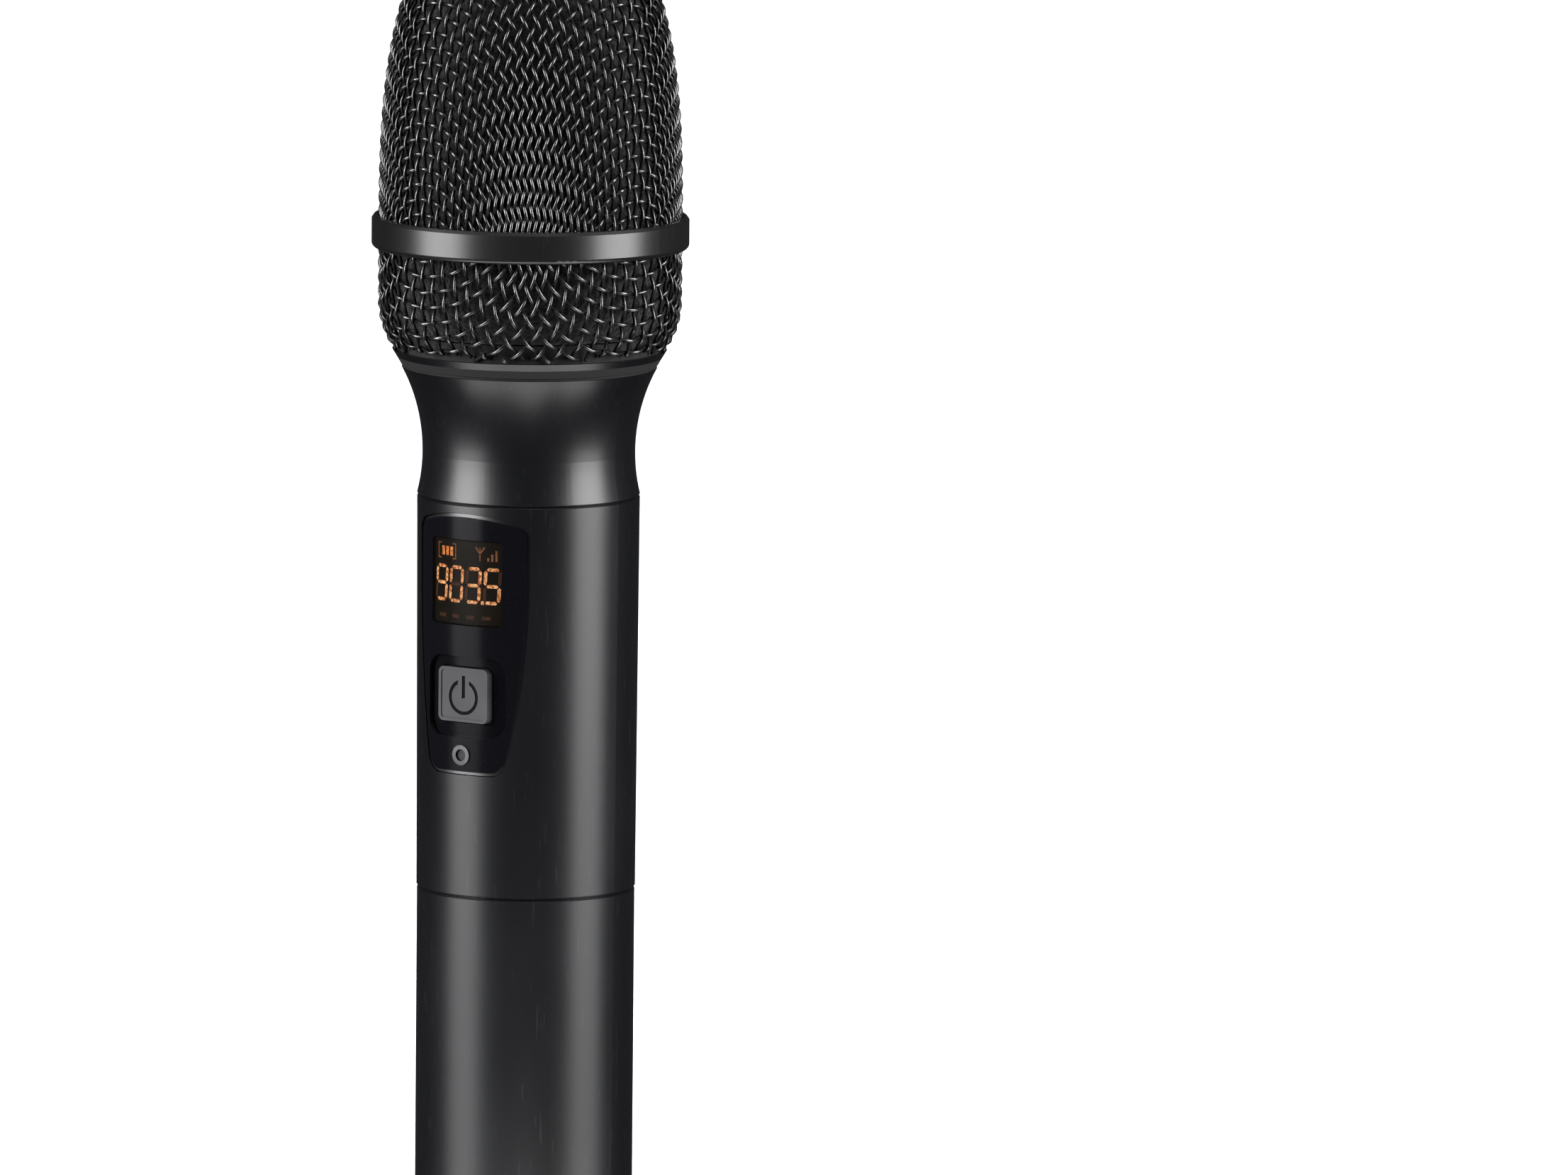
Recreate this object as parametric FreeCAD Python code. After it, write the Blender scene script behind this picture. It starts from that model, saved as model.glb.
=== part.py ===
"""Wireless karaoke microphone, standing on its end cap. Millimetres, +Z up, panel facing -Y.
The origin is the bottom centre. Every node is one piece of the assembly, written to parts/NODE.step."""

import FreeCAD, Part
import math
import os

# Driving dimensions: heights along the microphone
CAP_TOP = 12.0
SEAM = 92.0
NECK_FOOT = 157.9
NECK_WAIST = 165.2
NECK_TOP = 179.3
COLLAR_FOOT = 179.8
COLLAR_TOP = 182.3
BAND_FOOT = 199.4
BAND_TOP = 204.8
DOME_RISE = 55.5

# Driving dimensions: radii
SLEEVE_R = 18.2
SLEEVE_BORE = 17.0
TUBE_FOOT_R = 18.3
TUBE_TOP_R = 18.6
TUBE_BORE = 16.9
WAIST_R = 17.77
NECK_TOP_R = 21.3
COLLAR_R = 22.9
MESH_R = 25.4
BAND_R = 26.5
PANEL_R = 18.5
WELL_R = 17.6
LENS_BACK_R = 18.0
COUPLER_R = 16.4
THREAD_RING_R = 20.0
CELL_R = 7.0
CELL_LENGTH = 50.5
CELL_X = 7.6
CAPSULE_R = 13.0

# Driving dimensions: walls, gaps and shape
MESH_WALL = 1.2
FOAM_GAP = 0.5
FOAM_WALL = 3.0
DOME_POWER = 2.6
DOME_POINTS = 12
BOARD_BACK = -7.4
BOARD_FRONT = -9.0
BOARD_LOW = 101.5
BOARD_HIGH = 153.5
SCREW_PLACES = [(x, z) for x in (-10.5, 10.5) for z in (BOARD_LOW + 3.5, BOARD_HIGH - 3.5)]
WIRE_R = 0.6
LEAD_Y = 7.5
REACH = 40.0
PANEL_SPAN = (100.0, 170.0)

# What the panel holds: middle heights, and half the window's size
WINDOW_Z = 144.8
WINDOW_HALF = 7.15
WINDOW_HALF_TALL = 7.2
BUTTON_Z = 125.9
INDICATOR_Z = 115.85

UP = FreeCAD.Vector(0, 0, 1)
FORWARD = FreeCAD.Vector(0, -1, 0)
nodes = {}


def point(x, y, z):
    return FreeCAD.Vector(x, y, z)


def box(x0, x1, y0, y1, z0, z1):
    return Part.makeBox(x1 - x0, y1 - y0, z1 - z0, point(x0, y0, z0))


def rod(radius, z0, z1, x=0.0, y=0.0):
    """Upright cylinder."""
    return Part.makeCylinder(radius, z1 - z0, point(x, y, z0), UP)


def stud(radius, y_back, y_front, x, z):
    """Cylinder along Y, from its back to its front, which has the lower y."""
    return Part.makeCylinder(radius, y_back - y_front, point(x, y_back, z), FORWARD)


def pipe(outer, inner, z0, z1):
    return rod(outer, z0, z1).cut(rod(inner, z0 - 1, z1 + 1))


def join(shapes):
    solid = shapes[0]
    for extra in shapes[1:]:
        solid = solid.fuse(extra)
    return solid.removeSplitter()


def trim(shape, cutters):
    for cutter in cutters:
        shape = shape.cut(cutter)
    return shape


def lathe(start, steps):
    """Turned solid. A step (r, z) is a straight line, and (rm, zm, r, z) an arc through its first pair."""
    here = point(start[0], 0, start[1])
    first = here
    edges = []
    for step in steps:
        end = point(step[-2], 0, step[-1])
        if len(step) == 4:
            middle = point(step[0], 0, step[1])
            edges.append(Part.Arc(here, middle, end).toShape())
        else:
            edges.append(Part.LineSegment(here, end).toShape())
        here = end
    edges.append(Part.LineSegment(here, first).toShape())
    return turn(edges)


def turn(edges):
    face = Part.Face(Part.Wire(edges))
    return face.revolve(point(0, 0, 0), UP, 360)


def outline_xz(start, steps):
    """Flat face in the XZ plane, from the same kinds of step as lathe."""
    here = point(start[0], 0, start[1])
    first = here
    edges = []
    for step in steps:
        end = point(step[-2], 0, step[-1])
        if len(step) == 4:
            edges.append(Part.Arc(here, point(step[0], 0, step[1]), end).toShape())
        else:
            edges.append(Part.LineSegment(here, end).toShape())
        here = end
    if here.distanceToPoint(first) > 1e-6:
        edges.append(Part.LineSegment(here, first).toShape())
    return Part.Face(Part.Wire(edges))


def forward(face):
    """The face pushed out of the front of the handle."""
    return face.extrude(point(0, -REACH, 0))


def rounded_rect(half_x, z0, z1, corner):
    nook = corner * (1 - math.sqrt(0.5))
    return outline_xz(
        (-half_x + corner, z0),
        [
            (half_x - corner, z0),
            (half_x - nook, z0 + nook, half_x, z0 + corner),
            (half_x, z1 - corner),
            (half_x - nook, z1 - nook, half_x - corner, z1),
            (-half_x + corner, z1),
            (-half_x + nook, z1 - nook, -half_x, z1 - corner),
            (-half_x, z0 + corner),
            (-half_x + nook, z0 + nook, -half_x + corner, z0),
        ],
    )


def wire_run(corner_points, radius):
    """Round wire along straight runs, each corner rounded by an arc that touches both of its runs."""
    route = [point(*place) for place in corner_points]
    edges = []
    here = route[0]
    for before, corner, after in zip(route, route[1:], route[2:]):
        back = (before - corner).normalize()
        on = (after - corner).normalize()
        half_turn = (math.pi - back.getAngle(on)) / 2
        run = min(before.distanceToPoint(corner), after.distanceToPoint(corner))
        bend = 0.45 * run / math.tan(half_turn)
        setback = bend * math.tan(half_turn)
        start = corner + back * setback
        end = corner + on * setback
        middle = (back + on).normalize()
        top = corner + middle * (bend / math.cos(half_turn) - bend)
        edges.append(Part.LineSegment(here, start).toShape())
        edges.append(Part.Arc(start, top, end).toShape())
        here = end
        print("wire bend radius", round(bend, 2))
    edges.append(Part.LineSegment(here, route[-1]).toShape())
    path = Part.Wire(edges)
    section = Part.Wire(Part.Circle(route[0], route[1] - route[0], radius).toShape())
    tube = path.makePipeShell([section], True, False)
    expected = math.pi * radius**2 * path.Length
    print("wire volume share", round(tube.Volume / expected, 3))
    return tube


def dome_edge(radius, rise, foot):
    """Half outline of the grille's dome, from its widest circle to its crown."""
    places = []
    for i in range(DOME_POINTS + 1):
        angle = math.pi / 2 * i / DOME_POINTS
        across = radius * max(math.cos(angle), 0.0) ** (2 / DOME_POWER)
        if i == DOME_POINTS:
            across = 0.0
        up = rise * math.sin(angle) ** (2 / DOME_POWER)
        places.append(point(across, 0, foot + up))
    curve = Part.BSplineCurve()
    curve.interpolate(places)
    return curve.toShape()


def dome_shell(outer_r, inner_r, outer_rise, inner_rise, foot, skirt):
    """Closed dome whose straight skirt hangs below its widest circle."""
    outer = dome_edge(outer_r, outer_rise, foot)
    inner = dome_edge(inner_r, inner_rise, foot)
    low = foot - skirt
    edges = [
        Part.LineSegment(point(outer_r, 0, low), point(outer_r, 0, foot)).toShape(),
        outer,
        Part.LineSegment(point(0, 0, foot + outer_rise), point(0, 0, foot + inner_rise)).toShape(),
        inner,
        Part.LineSegment(point(inner_r, 0, foot), point(inner_r, 0, low)).toShape(),
        Part.LineSegment(point(inner_r, 0, low), point(outer_r, 0, low)).toShape(),
    ]
    return turn(Part.__sortEdges__(edges))


def make_sleeve():
    """Battery sleeve, with a broken edge at the seam, and the end cap that plugs its foot."""
    edge = 0.3
    seam_gap = 0.1
    top = SEAM - seam_gap
    nodes["battery_sleeve"] = lathe(
        (SLEEVE_BORE, CAP_TOP),
        [
            (SLEEVE_R, CAP_TOP),
            (SLEEVE_R, top - edge),
            (SLEEVE_R - edge, top),
            (SLEEVE_BORE, top),
        ],
    )
    rounding = 2.0
    groove = 0.35
    nook = rounding * (1 - math.sqrt(0.5))
    floor_z = 2.2
    pocket_r = 6.2
    plug_r = SLEEVE_BORE - 0.05
    plug_top = CAP_TOP + 5.0
    nodes["end_cap"] = lathe(
        (0, 0),
        [
            (SLEEVE_R - rounding, 0),
            (SLEEVE_R - nook, nook, SLEEVE_R, rounding),
            (SLEEVE_R, CAP_TOP - 2 * groove),
            (SLEEVE_R - groove, CAP_TOP - groove),
            (SLEEVE_R - groove, CAP_TOP),
            (plug_r, CAP_TOP),
            (plug_r, plug_top),
            (pocket_r, plug_top),
            (pocket_r, floor_z),
            (0, floor_z),
        ],
    )


def make_antenna():
    """Straight antenna under the battery tray, its sliding grommet and its lead up to the board."""
    antenna_r = 1.0
    whip_foot = 3.2
    tag_r = 9.0
    tag_foot = 19.0
    tag_top = 19.9
    whip = rod(antenna_r, whip_foot, tag_foot + 0.1)
    nodes["antenna_rod"] = join([whip, rod(tag_r, tag_foot, tag_top)])
    grommet_r = 5.7
    grommet_low = 8.5
    grommet_high = 12.5
    waist = 4.6
    nodes["antenna_grommet"] = lathe(
        (antenna_r + 0.3, grommet_low),
        [
            (grommet_r, grommet_low),
            (waist, (grommet_low + grommet_high) / 2, grommet_r, grommet_high),
            (antenna_r + 0.3, grommet_high),
        ],
    )
    lead_z = 113.0
    route = [(0, LEAD_Y, tag_top), (0, LEAD_Y, lead_z), (0, BOARD_BACK, lead_z)]
    nodes["antenna_lead"] = wire_run(route, WIRE_R)


def panel_outline():
    """Front view of the control panel: arched top, upright shoulders and flanks that draw in below."""
    low = 112.6
    return outline_xz(
        (-5.2, low),
        [
            (5.2, low),
            (7.1, low + 0.75, 8.2, low + 3.0),
            (10.45, 131.0, 11.1, 146.0),
            (11.1, 152.4),
            (10.6, 154.1, 9.2, 155.0),
            (0, 156.3, -9.2, 155.0),
            (-10.6, 154.1, -11.1, 152.4),
            (-11.1, 146.0),
            (-10.45, 131.0, -8.2, low + 3.0),
            (-7.1, low + 0.75, -5.2, low),
        ],
    )


def make_tube():
    """Upper handle tube, cut out for the panel."""
    edge = 0.3
    tube = lathe(
        (TUBE_BORE, SEAM),
        [
            (TUBE_FOOT_R - edge, SEAM),
            (TUBE_FOOT_R, SEAM + edge),
            (TUBE_TOP_R, NECK_FOOT - edge),
            (TUBE_TOP_R - edge, NECK_FOOT),
            (TUBE_BORE, NECK_FOOT),
        ],
    )
    gap = 0.12
    nodes["upper_tube"] = tube.cut(forward(panel_outline().makeOffset2D(gap)))


def window_cut(half, half_tall, corner):
    """The window's outline, pushed out of the front."""
    return forward(rounded_rect(half, WINDOW_Z - half_tall, WINDOW_Z + half_tall, corner))


def make_panel():
    """Curved panel with a stepped rim, the window, the key's well and the indicator's hole."""
    backing_r = TUBE_BORE + 0.02
    rim_width = 0.5
    rim_drop = 0.35
    base = pipe(PANEL_R - rim_drop, backing_r, *PANEL_SPAN).common(forward(panel_outline()))
    field = pipe(PANEL_R, backing_r, *PANEL_SPAN)
    field = field.common(forward(panel_outline().makeOffset2D(-rim_width)))
    panel = base.fuse(field)
    well_half = 7.8
    well_low = BUTTON_Z - 7.1
    well_high = BUTTON_Z + 6.5
    pad_half = 9.0
    pad_front = -17.0
    pad_back = -15.2
    pad = box(-pad_half, pad_half, pad_front, pad_back, well_low - 1.0, well_high + 1.0)
    pad = pad.common(rod(backing_r + 0.1, *PANEL_SPAN))
    well = forward(rounded_rect(well_half, well_low, well_high, 3.0))
    well = well.cut(rod(WELL_R, *PANEL_SPAN))
    key_half = 5.25
    key_half_tall = 4.8
    key_hole = forward(rounded_rect(key_half, BUTTON_Z - key_half_tall, BUTTON_Z + key_half_tall, 1.2))
    lamp_hole_r = 1.75
    lamp_hole = stud(lamp_hole_r, -10, -30, 0, INDICATOR_Z)
    window = window_cut(WINDOW_HALF, WINDOW_HALF_TALL, 0.6)
    nodes["control_panel"] = trim(panel.fuse(pad), [well, window, key_hole, lamp_hole])
    gap = 0.1
    lens = pipe(PANEL_R - gap, LENS_BACK_R, *PANEL_SPAN)
    nodes["display_lens"] = lens.common(window_cut(WINDOW_HALF - gap, WINDOW_HALF_TALL - gap, 0.5))


def make_display():
    """Display block behind the window and the row of pins that joins it to the board."""
    back = -11.0
    half = 7.0
    block = box(-half, half, -PANEL_R, back, WINDOW_Z - half, WINDOW_Z + half)
    nodes["display_module"] = block.common(rod(LENS_BACK_R - 0.1, *PANEL_SPAN))
    pins = []
    pin_half = 0.25
    pin_pitch = 1.6
    pin_count = 8
    for row_z in (WINDOW_Z - 6.0, WINDOW_Z + 6.0):
        for i in range(pin_count):
            x = (i - (pin_count - 1) / 2) * pin_pitch
            pin = box(x - pin_half, x + pin_half, back, BOARD_FRONT, row_z - pin_half, row_z + pin_half)
            pins.append(pin)
    nodes["display_pins"] = Part.makeCompound(pins)


def power_symbol(depth_back, depth_front):
    """Power sign: a ring broken at its top, and an upright bar through the break."""
    middle = BUTTON_Z - 0.4
    ring_r = 3.0
    line = 0.6
    break_half = 1.15
    bar_half = 0.32
    ring = stud(ring_r, depth_back, depth_front, 0, middle)
    ring = ring.cut(stud(ring_r - line, depth_back + 1, depth_front - 1, 0, middle))
    gap = box(-break_half, break_half, depth_front - 1, depth_back + 1, BUTTON_Z + 1, BUTTON_Z + 4)
    bar = box(-bar_half, bar_half, depth_front, depth_back, BUTTON_Z - 0.6, BUTTON_Z + 3.2)
    return ring.cut(gap).fuse(bar)


def button_slab(half, half_tall, front, back):
    return box(-half, half, front, back, BUTTON_Z - half_tall, BUTTON_Z + half_tall)


def make_button():
    """Square key with a raised rim and a sunk power sign, its skirt flange and its pusher."""
    face = -18.15
    field = -17.97
    half = 5.0
    half_tall = 4.55
    rim = 0.5
    key_back = -15.5
    key = rounded_rect(half, BUTTON_Z - half_tall, BUTTON_Z + half_tall, 1.0).extrude(point(0, face, 0))
    key = key.cut(button_slab(half, half, key_back, 0.5))
    dish_tall = half_tall - rim
    dish = rounded_rect(half - rim, BUTTON_Z - dish_tall, BUTTON_Z + dish_tall, 0.6)
    dish = dish.extrude(point(0, face - 1, 0))
    dish = dish.cut(button_slab(half, half, field, 0.5))
    flange_front = -14.9
    flange_back = -14.1
    core = button_slab(4.5, 4.1, -15.6, flange_front + 0.1)
    flange = button_slab(5.9, 5.6, flange_front, flange_back)
    solid = join([key.cut(dish), core, flange])
    nodes["power_button"] = solid.cut(power_symbol(field + 0.2, field - 0.1))


def make_indicator():
    """Chrome ring, the dark light pipe in it and the lamp on the board behind."""
    ring_r = 1.7
    ring_bore = 1.0
    ring = stud(ring_r, -17.3, -18.7, 0, INDICATOR_Z)
    nodes["indicator_ring"] = ring.cut(stud(ring_bore, -10, -30, 0, INDICATOR_Z))
    lamp_front = -10.0
    pipe_front = -18.3
    nodes["indicator_light_pipe"] = stud(ring_bore - 0.05, lamp_front - 0.1, pipe_front, 0, INDICATOR_Z)
    lamp = box(-0.8, 0.8, lamp_front, BOARD_FRONT, INDICATOR_Z - 0.5, INDICATOR_Z + 0.5)
    nodes["indicator_led"] = lamp


def make_board():
    """Main board, with what is soldered to its two faces and the four screws that hold it."""
    half = 13.0
    hole_r = 1.15
    board = box(-half, half, BOARD_FRONT, BOARD_BACK, BOARD_LOW, BOARD_HIGH)
    nodes["main_board"] = trim(board, [stud(hole_r, -5, -12, x, z) for x, z in SCREW_PLACES])
    switch_half = 3.0
    switch_top = -12.6
    stem_r = 1.7
    stem_top = -13.55
    body = button_slab(switch_half, switch_half, switch_top, BOARD_FRONT)
    nodes["power_switch"] = join([body, stud(stem_r, switch_top + 0.1, stem_top, 0, BUTTON_Z)])
    can_half = 9.0
    can_back = -4.4
    can_low = 119.0
    can_high = 139.0
    sheet = 0.3
    can = box(-can_half, can_half, BOARD_BACK, can_back, can_low, can_high)
    room_half = can_half - sheet
    room = box(-room_half, room_half, BOARD_BACK - 1, can_back - sheet, can_low + sheet, can_high - sheet)
    nodes["rf_shield"] = can.cut(room)
    make_chips()
    nodes["board_screws"] = Part.makeCompound([board_screw(x, z) for x, z in SCREW_PLACES])


def make_chips():
    """Chips on both faces of the board, each a box from and to along x, y and z, and two capacitors."""
    chips = [
        box(-4, 4, BOARD_BACK, -6.2, 103, 110),
        box(4.6, 9, BOARD_BACK, -6.4, 112, 117),
        box(-9, -5, BOARD_BACK, -6.5, 111.5, 115.5),
        box(-6, -1.5, BOARD_BACK, -6.4, 122, 128),
        box(1.5, 6, BOARD_BACK, -6.4, 129, 135),
        box(-10.5, -6.5, -10.2, BOARD_FRONT, 108, 112),
        box(6, 11, -10.4, BOARD_FRONT, 118, 124),
    ]
    nodes["board_chips"] = Part.makeCompound(chips)
    capacitor_r = 2.5
    capacitor_top = -1.6
    cans = [stud(capacitor_r, capacitor_top, BOARD_BACK, x, 144) for x in (-6.5, 6.5)]
    nodes["board_capacitors"] = Part.makeCompound(cans)


def board_screw(x, z):
    """Screw with a flat head and a cross slot."""
    head_r = 1.8
    head_top = BOARD_FRONT - 1.1
    shank_r = 0.95
    shank_end = -3.5
    slot_half = 1.2
    slot_line = 0.2
    slot_floor = head_top + 0.4
    above = head_top - 0.5
    head = stud(head_r, BOARD_FRONT, head_top, x, z)
    shank = stud(shank_r, shank_end, BOARD_FRONT - 0.1, x, z)
    slot = box(x - slot_half, x + slot_half, above, slot_floor, z - slot_line, z + slot_line)
    cross = box(x - slot_line, x + slot_line, above, slot_floor, z - slot_half, z + slot_half)
    return trim(join([head, shank]), [slot, cross])


def back_half(shape, front):
    """What lies behind this y of a round shape."""
    return shape.common(box(-REACH, REACH, front, REACH, 0, 2 * PANEL_SPAN[1]))


def make_chassis():
    """Plastic spine: a ring inside the coupler, a floor, and a half shell with the board's bosses."""
    outer = 16.5
    inner = 15.1
    bore = 12.8
    floor_bore = 9.2
    floor_low = 99.3
    floor_high = 101.0
    shell_front = -6.9
    shell = back_half(pipe(outer, inner, floor_low, BOARD_HIGH), shell_front)
    rib_front = 2.0
    rib_tall = 1.4
    ribs = [back_half(pipe(inner + 0.2, bore, z, z + rib_tall), rib_front) for z in (113.8, 133.8)]
    boss_r = 2.1
    boss_back = 10.9
    bosses = [stud(boss_r, boss_back, BOARD_BACK, x, z) for x, z in SCREW_PLACES]
    floor = pipe(outer, floor_bore, floor_low, floor_high)
    ring_r = 14.3
    ring_low = 93.6
    ring = pipe(ring_r, bore, ring_low, floor_high)
    solid = join([shell, floor, ring] + ribs + bosses)
    pilot_r = 1.0
    pilot_end = -3.0
    nodes["chassis_frame"] = trim(solid, [stud(pilot_r, pilot_end, -12, x, z) for x, z in SCREW_PLACES])


def make_coupler():
    """Male coupler at the foot of the upper tube, and the O-ring in its groove."""
    groove_low = 86.9
    groove_high = 88.4
    groove_r = 15.4
    bore = 14.6
    foot = 80.5
    top = 99.2
    edge = 0.5
    seat_r = TUBE_BORE - 0.04
    nodes["sleeve_coupler"] = lathe(
        (bore, foot),
        [
            (COUPLER_R - edge, foot),
            (COUPLER_R, foot + edge),
            (COUPLER_R, groove_low),
            (groove_r, groove_low),
            (groove_r, groove_high),
            (COUPLER_R, groove_high),
            (COUPLER_R, SEAM),
            (seat_r, SEAM),
            (seat_r, top),
            (bore, top),
        ],
    )
    ring_r = 16.1
    cord_r = 0.55
    nodes["coupler_seal"] = Part.makeTorus(ring_r, cord_r, point(0, 0, (groove_low + groove_high) / 2))


def make_tray():
    """Battery tray: two end discs, a back shell with a rib between the cells, and a neck ring."""
    low = 20.0
    deck = 78.0
    disc_thick = 2.0
    shell_top = deck + 0.5
    shell_r = 16.2
    shell_bore = 15.0
    shell_front = -1.5
    shell = back_half(pipe(shell_r, shell_bore, low, shell_top), shell_front)
    finger_holes = [stud(5.0, 20, 8, 0, z) for z in (40, 60)]
    shell = trim(shell, finger_holes)
    foot_disc = rod(shell_r, low, low + disc_thick)
    top_disc = rod(shell_r, deck, deck + disc_thick)
    ring_top = 93.5
    top_ring = pipe(14.3, 12.6, deck + disc_thick - 0.5, ring_top)
    rib_half = 0.4
    rib_front = 9.0
    rib = box(-rib_half, rib_half, rib_front, shell_bore + 0.2, low, shell_top)
    rib = trim(rib, finger_holes)
    lead_hole = rod(0.9, low - 1, ring_top + 1.5, 0, LEAD_Y)
    wire_holes = [rod(1.0, deck - 1, ring_top + 1.5, x, 0) for x in (-CELL_X, CELL_X)]
    tray = join([shell, foot_disc, top_disc, top_ring, rib])
    nodes["battery_tray"] = trim(tray, [lead_hole] + wire_holes)


def battery_cell(x, low, nub_up):
    """AA cell: a can with rolled edges and a small nub on its plus end."""
    nub_r = 2.7
    nub_rise = 1.3
    can_low = low if nub_up else low + nub_rise
    can_high = can_low + CELL_LENGTH - nub_rise
    can = rod(CELL_R, can_low, can_high, x)
    can = can.makeFillet(0.5, [edge for edge in can.Edges if edge.Closed])
    if nub_up:
        nub = rod(nub_r, can_high - 0.1, can_high + nub_rise, x)
    else:
        nub = rod(nub_r, can_low - nub_rise, can_low + 0.1, x)
    return can.fuse(nub)


def make_battery_parts():
    """Two cells, head to tail, their springs and plates, and the leads up to the board."""
    plate_low = 22.1
    plate_high = 22.4
    deck_low = 77.6
    deck_high = 77.9
    nodes["battery_cell_left"] = battery_cell(-CELL_X, deck_low - CELL_LENGTH, True)
    nodes["battery_cell_right"] = battery_cell(CELL_X, plate_high, False)
    wide = 4.4
    narrow = 2.8
    left_rise = deck_low - CELL_LENGTH - plate_high
    left_spring = Part.makeCone(wide, narrow, left_rise, point(-CELL_X, 0, plate_high))
    right_top = plate_high + CELL_LENGTH
    right_spring = Part.makeCone(narrow, wide, deck_low - right_top, point(CELL_X, 0, right_top))
    nodes["battery_springs"] = Part.makeCompound([left_spring, right_spring])
    bridge_half = 12.5
    plate_half = 4.8
    plate_deep = 4.5
    bridge = box(-bridge_half, bridge_half, -plate_deep, plate_deep, plate_low, plate_high)
    tops = []
    for x in (-CELL_X, CELL_X):
        tops.append(box(x - plate_half, x + plate_half, -plate_deep, plate_deep, deck_low, deck_high))
    nodes["contact_plates"] = Part.makeCompound([bridge] + tops)
    lead_z = 107.5
    leads = []
    for x in (-CELL_X, CELL_X):
        route = [(x, 0, deck_high), (x, 0, lead_z), (x, BOARD_BACK, lead_z)]
        leads.append(wire_run(route, WIRE_R))
    nodes["battery_leads"] = Part.makeCompound(leads)


def make_neck():
    """Flared and waisted neck, and the threaded ring that the grille screws onto."""
    bore = 16.2
    ring_seat = 170.5
    ring_bore = 17.0
    spigot_r = TUBE_BORE - 0.05
    spigot_low = 154.2
    foot_r = TUBE_TOP_R
    spigot_bore = 15.4
    nodes["neck_shell"] = lathe(
        (spigot_bore, spigot_low),
        [
            (spigot_r, spigot_low),
            (spigot_r, NECK_FOOT + 0.05),
            (foot_r - 0.25, NECK_FOOT + 0.05),
            (foot_r, NECK_FOOT + 0.3),
            (WAIST_R + 0.23, 161.4, WAIST_R, NECK_WAIST),
            (WAIST_R + 0.83, 172.2, NECK_TOP_R, NECK_TOP),
            (ring_bore, NECK_TOP),
            (ring_bore, ring_seat),
            (bore, ring_seat),
            (bore, NECK_FOOT + 2.0),
            (spigot_bore, NECK_FOOT + 1.0),
        ],
    )
    ring_top = 187.0
    ring_r = 18.4
    shelf = 181.0
    shelf_bore = 15.6
    flange = NECK_TOP + 0.05
    nodes["neck_thread_ring"] = lathe(
        (shelf_bore, ring_seat + 0.1),
        [
            (ring_bore - 0.05, ring_seat + 0.1),
            (ring_bore - 0.05, flange),
            (THREAD_RING_R, flange),
            (THREAD_RING_R, ring_top - 0.5),
            (THREAD_RING_R - 0.5, ring_top),
            (ring_r, ring_top),
            (ring_r, shelf),
            (shelf_bore, shelf),
        ],
    )


def make_shock_mount():
    """Rubber ring with a thin web, between the thread ring and the capsule."""
    grip = CAPSULE_R + 0.05
    hub_r = 14.6
    hub_foot = 178.5
    hub_top = 190.5
    rim_bore = 16.8
    rim_r = 18.3
    rim_foot = 181.1
    rim_top = 186.4
    fold_r = (hub_r + rim_bore) / 2
    web_low = 183.0
    web_high = 184.6
    fold_rise = 1.6
    nodes["shock_mount"] = lathe(
        (grip, hub_foot),
        [
            (hub_r, hub_foot),
            (hub_r, web_low),
            (fold_r, web_low + fold_rise, rim_bore, web_low),
            (rim_bore, rim_foot),
            (rim_r, rim_foot),
            (rim_r, rim_top),
            (rim_bore, rim_top),
            (rim_bore, web_high),
            (fold_r, web_high + fold_rise, hub_r, web_high),
            (hub_r, hub_top),
            (grip, hub_top),
        ],
    )


def crown(rim_r, rim_z, top_z, across):
    """Point of a spherical cap's arc at this distance from the axis."""
    rise = top_z - rim_z
    ball = (rim_r**2 + rise**2) / (2 * rise)
    return (across, top_z - ball + math.sqrt(ball**2 - across**2))


def make_diaphragm():
    """Domed diaphragm with a rolled surround, and the coil under it."""
    low = 194.9
    high = 195.2
    under_top = 197.0
    top = 197.35
    dome_r = 8.9
    land_r = 9.5
    roll_r = 10.6
    roll_rise = 0.7
    rim_r = 11.7
    nodes["diaphragm"] = lathe(
        (0, under_top),
        [
            (*crown(dome_r, low, under_top, dome_r / 2), dome_r, low),
            (land_r, low),
            (roll_r, low + roll_rise, rim_r, low),
            (rim_r, high),
            (roll_r, high + roll_rise, land_r, high),
            (dome_r + 0.2, high),
            (*crown(dome_r + 0.2, high, top, dome_r / 2), 0, top),
        ],
    )
    coil_r = 9.35
    coil_foot = 190.5
    nodes["voice_coil"] = pipe(coil_r, dome_r, coil_foot, low)


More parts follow.
